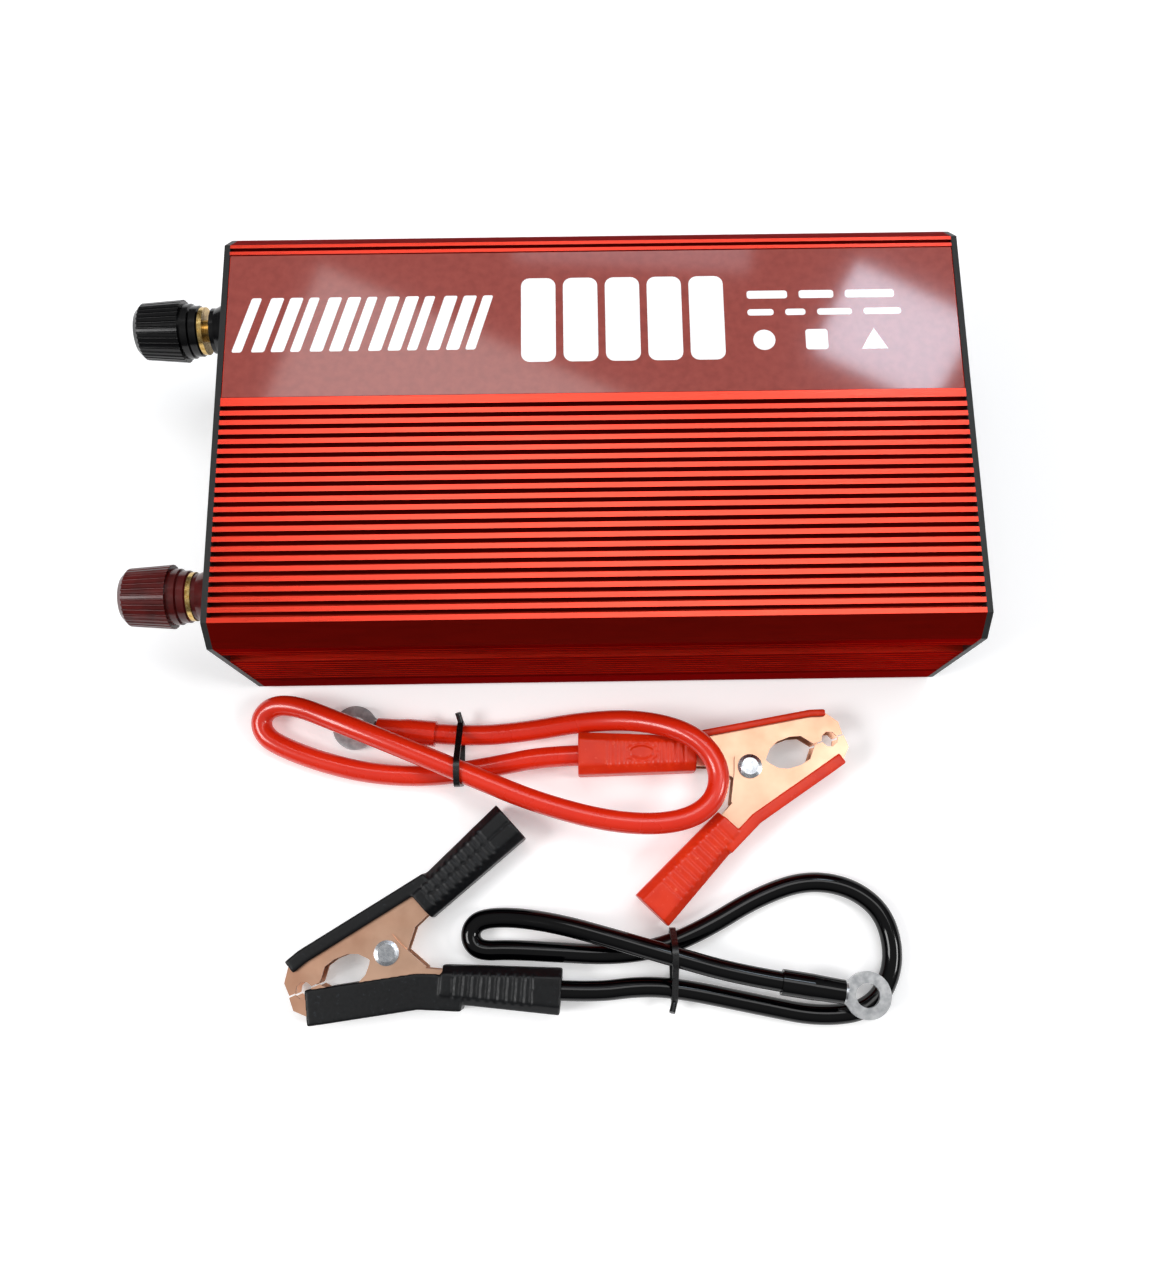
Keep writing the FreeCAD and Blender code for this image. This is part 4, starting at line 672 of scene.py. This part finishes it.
@dataclass(frozen=True)
class Grip:
    """Dip-moulded sleeve on one handle of a clamp, with its ribs, and a thumb tab or a seam."""

    name: str
    node: str
    handle: Handle
    place: ClampPlace
    body: Body
    finish: Finish
    slot: str
    tabbed: bool = False
    seamed: bool = False
    voxel_mm: float = 0.42
    softening: int = 12
    rib_pitch_mm: float = 3.1
    rib_height_mm: float = 0.4
    rib_start_mm: float = 9.0
    rib_end_short_mm: float = 10.0
    rib_margin_mm: float = 2.0
    rib_fade_mm: float = 0.8
    rib_share: float = 0.5
    rib_edge: float = 0.3
    half_width_mm: tuple[float, float] = (6.5, 8.0)
    tab_length_mm: float = 4.6
    tab_width_mm: float = 2.6
    tab_place: float = 0.52
    tab_rim: tuple[float, float] = (0.9, 1.3)
    tab_rise_mm: float = 0.2
    tab_groove_mm: float = 0.4
    seam_half_mm: float = 0.45
    seam_depth_mm: float = 0.35

    def softened(self) -> bpy.types.Mesh:
        """Round the sleeve's corners all over, as a dipped skin runs round them.

        Returns:
            A new mesh in the place of the frame's sleeve.
        """
        draft = bpy.data.objects.new("draft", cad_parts[self.node].data.copy())
        bpy.context.scene.collection.objects.link(draft)
        skin = draft.modifiers.new("skin", "REMESH")
        skin.mode = "VOXEL"
        skin.voxel_size = self.voxel_mm * MM
        relax = draft.modifiers.new("relax", "SMOOTH")
        relax.factor = 0.5
        relax.iterations = self.softening
        bpy.context.view_layer.update()
        mesh = bpy.data.meshes.new_from_object(draft.evaluated_get(bpy.context.evaluated_depsgraph_get()))
        bpy.data.objects.remove(draft)
        mesh.name = self.name
        return mesh

    def rib_height(self, along: float, across: float, length: float) -> float:
        """Height of the ribs, the tab or the seam at a place on the sleeve.

        Args:
            along: Distance from the start of the handle, in millimetres.
            across: Distance from its middle line.
            length: Length of the handle.

        Returns:
            Height above the plain skin, in millimetres.
        """
        middle = length * self.tab_place
        in_tab = math.hypot((along - middle) / self.tab_length_mm, across / self.tab_width_mm)
        if self.tabbed and in_tab < self.tab_rim[1]:
            return -self.tab_groove_mm if in_tab > self.tab_rim[0] else self.tab_rise_mm
        if self.seamed and abs(across) < self.seam_half_mm and along > self.rib_start_mm:
            return -self.seam_depth_mm
        end = length - self.rib_end_short_mm
        if not self.rib_start_mm < along < end:
            return 0.0
        narrow, wide = self.half_width_mm
        ribbed = narrow + (wide - narrow) * along / length - self.rib_margin_mm
        beat = 0.5 + 0.5 * math.cos(2 * math.pi * along / self.rib_pitch_mm)
        fade = min(1.0, max(0.0, (ribbed - abs(across)) / self.rib_fade_mm))
        return -self.rib_height_mm * fade * min(1.0, max(0.0, (beat - self.rib_share) / self.rib_edge))

    def build(self) -> bpy.types.Object:
        """Mould the sleeve and put it over its handle.

        Returns:
            The sleeve.
        """
        mesh = self.softened()
        start = self.place.point(*self.handle.value[0])
        far = self.place.point(*self.handle.value[1])
        length = (far - start).length
        run = (far - start).normalized()
        side = Vector((-run.y, run.x, 0.0))
        for vertex, normal in [(v, v.normal.copy()) for v in mesh.vertices]:
            reach = vertex.co / MM - start
            height = self.rib_height(reach.dot(run), reach.dot(side), length)
            if normal.z > 0:
                vertex.co += normal * height * normal.z * MM
        for face in mesh.polygons:
            face.use_smooth = True
        grip = place_piece(self.name, mesh, self.finish, self.body)
        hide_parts(self.node)
        return grip


# ---------------------------------------------------------------- printed label
@dataclass(frozen=True)
class Label:
    """White print on the maroon film: plain blocks, bars and marks, in millimetres, with no words."""

    ink_mm: float = 0.03
    slant: float = 0.3
    stripe_ends: tuple[float, float] = (-123.5, -37.0)
    stripe_foot: float = 27.2
    stripe_height: float = 20.4
    stripe_corner: float = 0.7
    stripes: int = 13
    wide_share: float = 0.68
    narrow_share: float = 0.52
    block_ends: tuple[float, float] = (-24.5, 48.0)
    block_foot: float = 22.3
    block_height: float = 31.6
    block_gap: float = 2.6
    block_corner: float = 3.0
    blocks: int = 5
    bars_from: float = 53.5
    bar_gap: float = 4.0
    bar_rows: tuple[tuple[float, float, tuple[float, ...]], ...] = (
        (45.0, 3.0, (14.0, 12.0, 17.0)), (38.6, 2.4, (9.0, 7.0, 12.0, 13.0)))
    mark_foot: float = 25.6
    mark_size: float = 7.6
    bar_corner: float = 1.0
    dot_corner: float = 3.75
    triangle_width: float = 9.0
    triangle_height: float = 7.8
    mark_places: tuple[float, float, float] = (55.0, 73.0, 92.0)

    def stripe_row(self) -> list[list[tuple[float, float]]]:
        """Slanted stripes on the left half, every third one narrower.

        Returns:
            Outlines of the stripes.
        """
        pitch = (self.stripe_ends[1] - self.stripe_ends[0]) / self.stripes
        return [rounded_block(self.stripe_ends[0] + i * pitch, self.stripe_foot,
                              pitch * (self.wide_share if i % 3 else self.narrow_share),
                              self.stripe_height, self.stripe_corner, self.slant)
                for i in range(self.stripes)]

    def block_row(self) -> list[list[tuple[float, float]]]:
        """Large upright blocks in the middle.

        Returns:
            Outlines of the blocks.
        """
        pitch = (self.block_ends[1] - self.block_ends[0]) / self.blocks
        return [rounded_block(self.block_ends[0] + i * pitch, self.block_foot, pitch - self.block_gap,
                              self.block_height, self.block_corner) for i in range(self.blocks)]

    def small_marks(self) -> list[list[tuple[float, float]]]:
        """Short bars in two rows and three plain marks on the right.

        Returns:
            Outlines of the bars and the marks.
        """
        marks = []
        for foot, height, lengths in self.bar_rows:
            x = self.bars_from
            for length in lengths:
                marks.append(rounded_block(x, foot, length, height, self.bar_corner))
                x += length + self.bar_gap
        size, foot = self.mark_size, self.mark_foot
        dot, square, triangle = self.mark_places
        marks.append(rounded_block(dot, foot, size, size, self.dot_corner))
        marks.append(rounded_block(square, foot, size, size, self.bar_corner))
        marks.append([(triangle, foot), (triangle + self.triangle_width, foot),
                      (triangle + self.triangle_width / 2, foot + self.triangle_height)])
        return marks

    def build(self) -> None:
        """Print the white ink on the film."""
        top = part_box("top_label")[1].z
        build = bmesh.new()
        for outline in self.stripe_row() + self.block_row() + self.small_marks():
            raise_outline(build, outline, top, top + self.ink_mm * MM)
        place_piece("label_print", close_mesh("label_print", build), WHITE_INK, Body.CASE)


# ---------------------------------------------------------------- case and what is in it
@dataclass(frozen=True)
class Dressing:
    """Finish and edge rounding of a group of frame nodes."""

    nodes: tuple[str, ...]
    finish: Finish
    edge_mm: float = 0.0

    def put_on(self) -> None:
        """Dress every node of the group."""
        for node in self.nodes:
            dress(node, self.finish)
            if self.edge_mm:
                break_edges(node, self.edge_mm)


@dataclass(frozen=True)
class Assembly:
    """One sub-assembly of the inverter: its name and how its pieces are dressed."""

    name: str
    dressings: tuple[Dressing, ...]

    def build(self) -> None:
        """Dress the sub-assembly."""
        log.info("%s", self.name)
        for dressing in self.dressings:
            dressing.put_on()


CASE = Assembly("case", (
    Dressing(("upper_shell", "lower_shell"), ANODISED_RED, 0.12),
    Dressing(("terminal_end_plate", "socket_end_plate"), BLACK_STEEL, 0.3),
    Dressing(("end_plate_screws", "channel_screws", "fan_screws"), BLACK_OXIDE, 0.15),
    Dressing(("top_label",), LABEL_FILM),
))
POSTS = Assembly("binding posts", (
    Dressing(("black_post_flange", "black_post_knob"), PHENOLIC_BLACK, 0.25),
    Dressing(("red_post_flange", "red_post_knob"), PHENOLIC_MAROON, 0.25),
    Dressing(("black_post_stud", "red_post_stud", "black_post_washer", "red_post_washer",
              "black_knob_insert", "red_knob_insert"), BRASS, 0.15),
    Dressing(("post_lock_nuts",), ZINC, 0.2),
))
FAN = Assembly("fan", (
    Dressing(("fan_frame", "fan_rotor"), NYLON_BLACK, 0.2),
    Dressing(("fan_guard",), ZINC),
))
OUTPUT_END = Assembly("output end", (
    Dressing(("ac_socket", "rocker_housing", "usb_port"), NYLON_BLACK, 0.25),
    Dressing(("rocker_button",), ABS_RED, 0.3),
    Dressing(("socket_contacts",), BRASS),
    Dressing(("status_lights",), LENS, 0.2),
))
ELECTRONICS = Assembly("electronics", (
    Dressing(("main_board", "control_card"), BOARD),
    Dressing(("transformer_cores", "output_choke"), FERRITE, 0.3),
    Dressing(("transformer_windings",), WINDING_TAPE, 0.4),
    Dressing(("input_capacitors", "bus_capacitors"), CAN_SLEEVE, 0.2),
    Dressing(("mosfets",), EPOXY, 0.15),
    Dressing(("clamp_bars",), ZINC, 0.3),
    Dressing(("fuses",), FUSE_BODY, 0.3),
    Dressing(("bus_bars",), COPPER, 0.3),
))


# ---------------------------------------------------------------- leads
@dataclass(frozen=True)
class Lead:
    """One battery lead: its cable, and the ring terminal, tie and spring clamp on it."""

    cable: Cable
    grips: tuple[Grip, Grip]
    sleeve: Finish

    def fit(self) -> None:
        """Mould the grips and dress the metal pieces, once the cable is laid."""
        for grip in self.grips:
            grip.build()
        colour = self.cable.colour
        for tail, finish, edge in (
                ("_terminal_sleeve", self.sleeve, 0.5), ("_ring_terminal", TINNED, 0.25),
                ("_cable_tie", NYLON_TIE, 0.3), ("_fixed_jaw", COPPER_FLASH, 0.25),
                ("_moving_jaw", COPPER_FLASH, 0.25), ("_clamp_rivet", ZINC, 0.2),
                ("_clamp_spring", SPRING_STEEL, 0.2)):
            dress(colour + tail, finish)
            break_edges(colour + tail, edge)


def make_leads() -> tuple[Lead, Lead]:
    """Set out both leads.

    Returns:
        The red lead and the black one.
    """
    red_place = ClampPlace((55.7, -109.1), 18.0, False)
    black_place = ClampPlace((-75.6, -173.3), 203.0, True)
    red_cable = Cable("red", Body.RED_LEAD, PVC_RED, RED_ROUTE, (-0.00720, -0.10325, 0.00740),
                      0.4565, 0.0078, "red_pvc")
    black_cable = Cable("black", Body.BLACK_LEAD, PVC_BLACK, BLACK_ROUTE, (-0.01420, -0.18740, 0.00740),
                        0.4472, 0.0072, "black_pvc")
    red_grips = (
        Grip("red_fixed_sleeve", "red_fixed_grip", Handle.INNER, red_place, Body.RED_LEAD,
             GRIP_RED, "red_pvc", tabbed=True),
        Grip("red_moving_sleeve", "red_moving_grip", Handle.OUTER, red_place, Body.RED_ARM,
             GRIP_RED, "red_pvc"))
    black_grips = (
        Grip("black_fixed_sleeve", "black_fixed_grip", Handle.OUTER, black_place, Body.BLACK_LEAD,
             GRIP_BLACK, "black_pvc"),
        Grip("black_moving_sleeve", "black_moving_grip", Handle.INNER, black_place, Body.BLACK_ARM,
             GRIP_BLACK, "black_pvc", seamed=True))
    return Lead(red_cable, red_grips, PVC_RED), Lead(black_cable, black_grips, PVC_BLACK)


def main() -> None:
    """Build the studio, the leads and the inverter."""
    logging.basicConfig(level=logging.INFO, format="%(name)s %(message)s")
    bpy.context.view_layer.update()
    Studio().build()
    leads = make_leads()
    for lead in leads:
        lead.cable.build()
    for lead in leads:
        lead.fit()
    for assembly in (CASE, POSTS, FAN, OUTPUT_END, ELECTRONICS):
        assembly.build()
    # The shells' sideways walls get painted shade: a darker copy of the red.
    for shell in ("upper_shell", "lower_shell"):
        paint_wall_shade(shell, ANODISED_WALL_SHADE)
    Label().build()


if __name__ == "__main__":
    main()
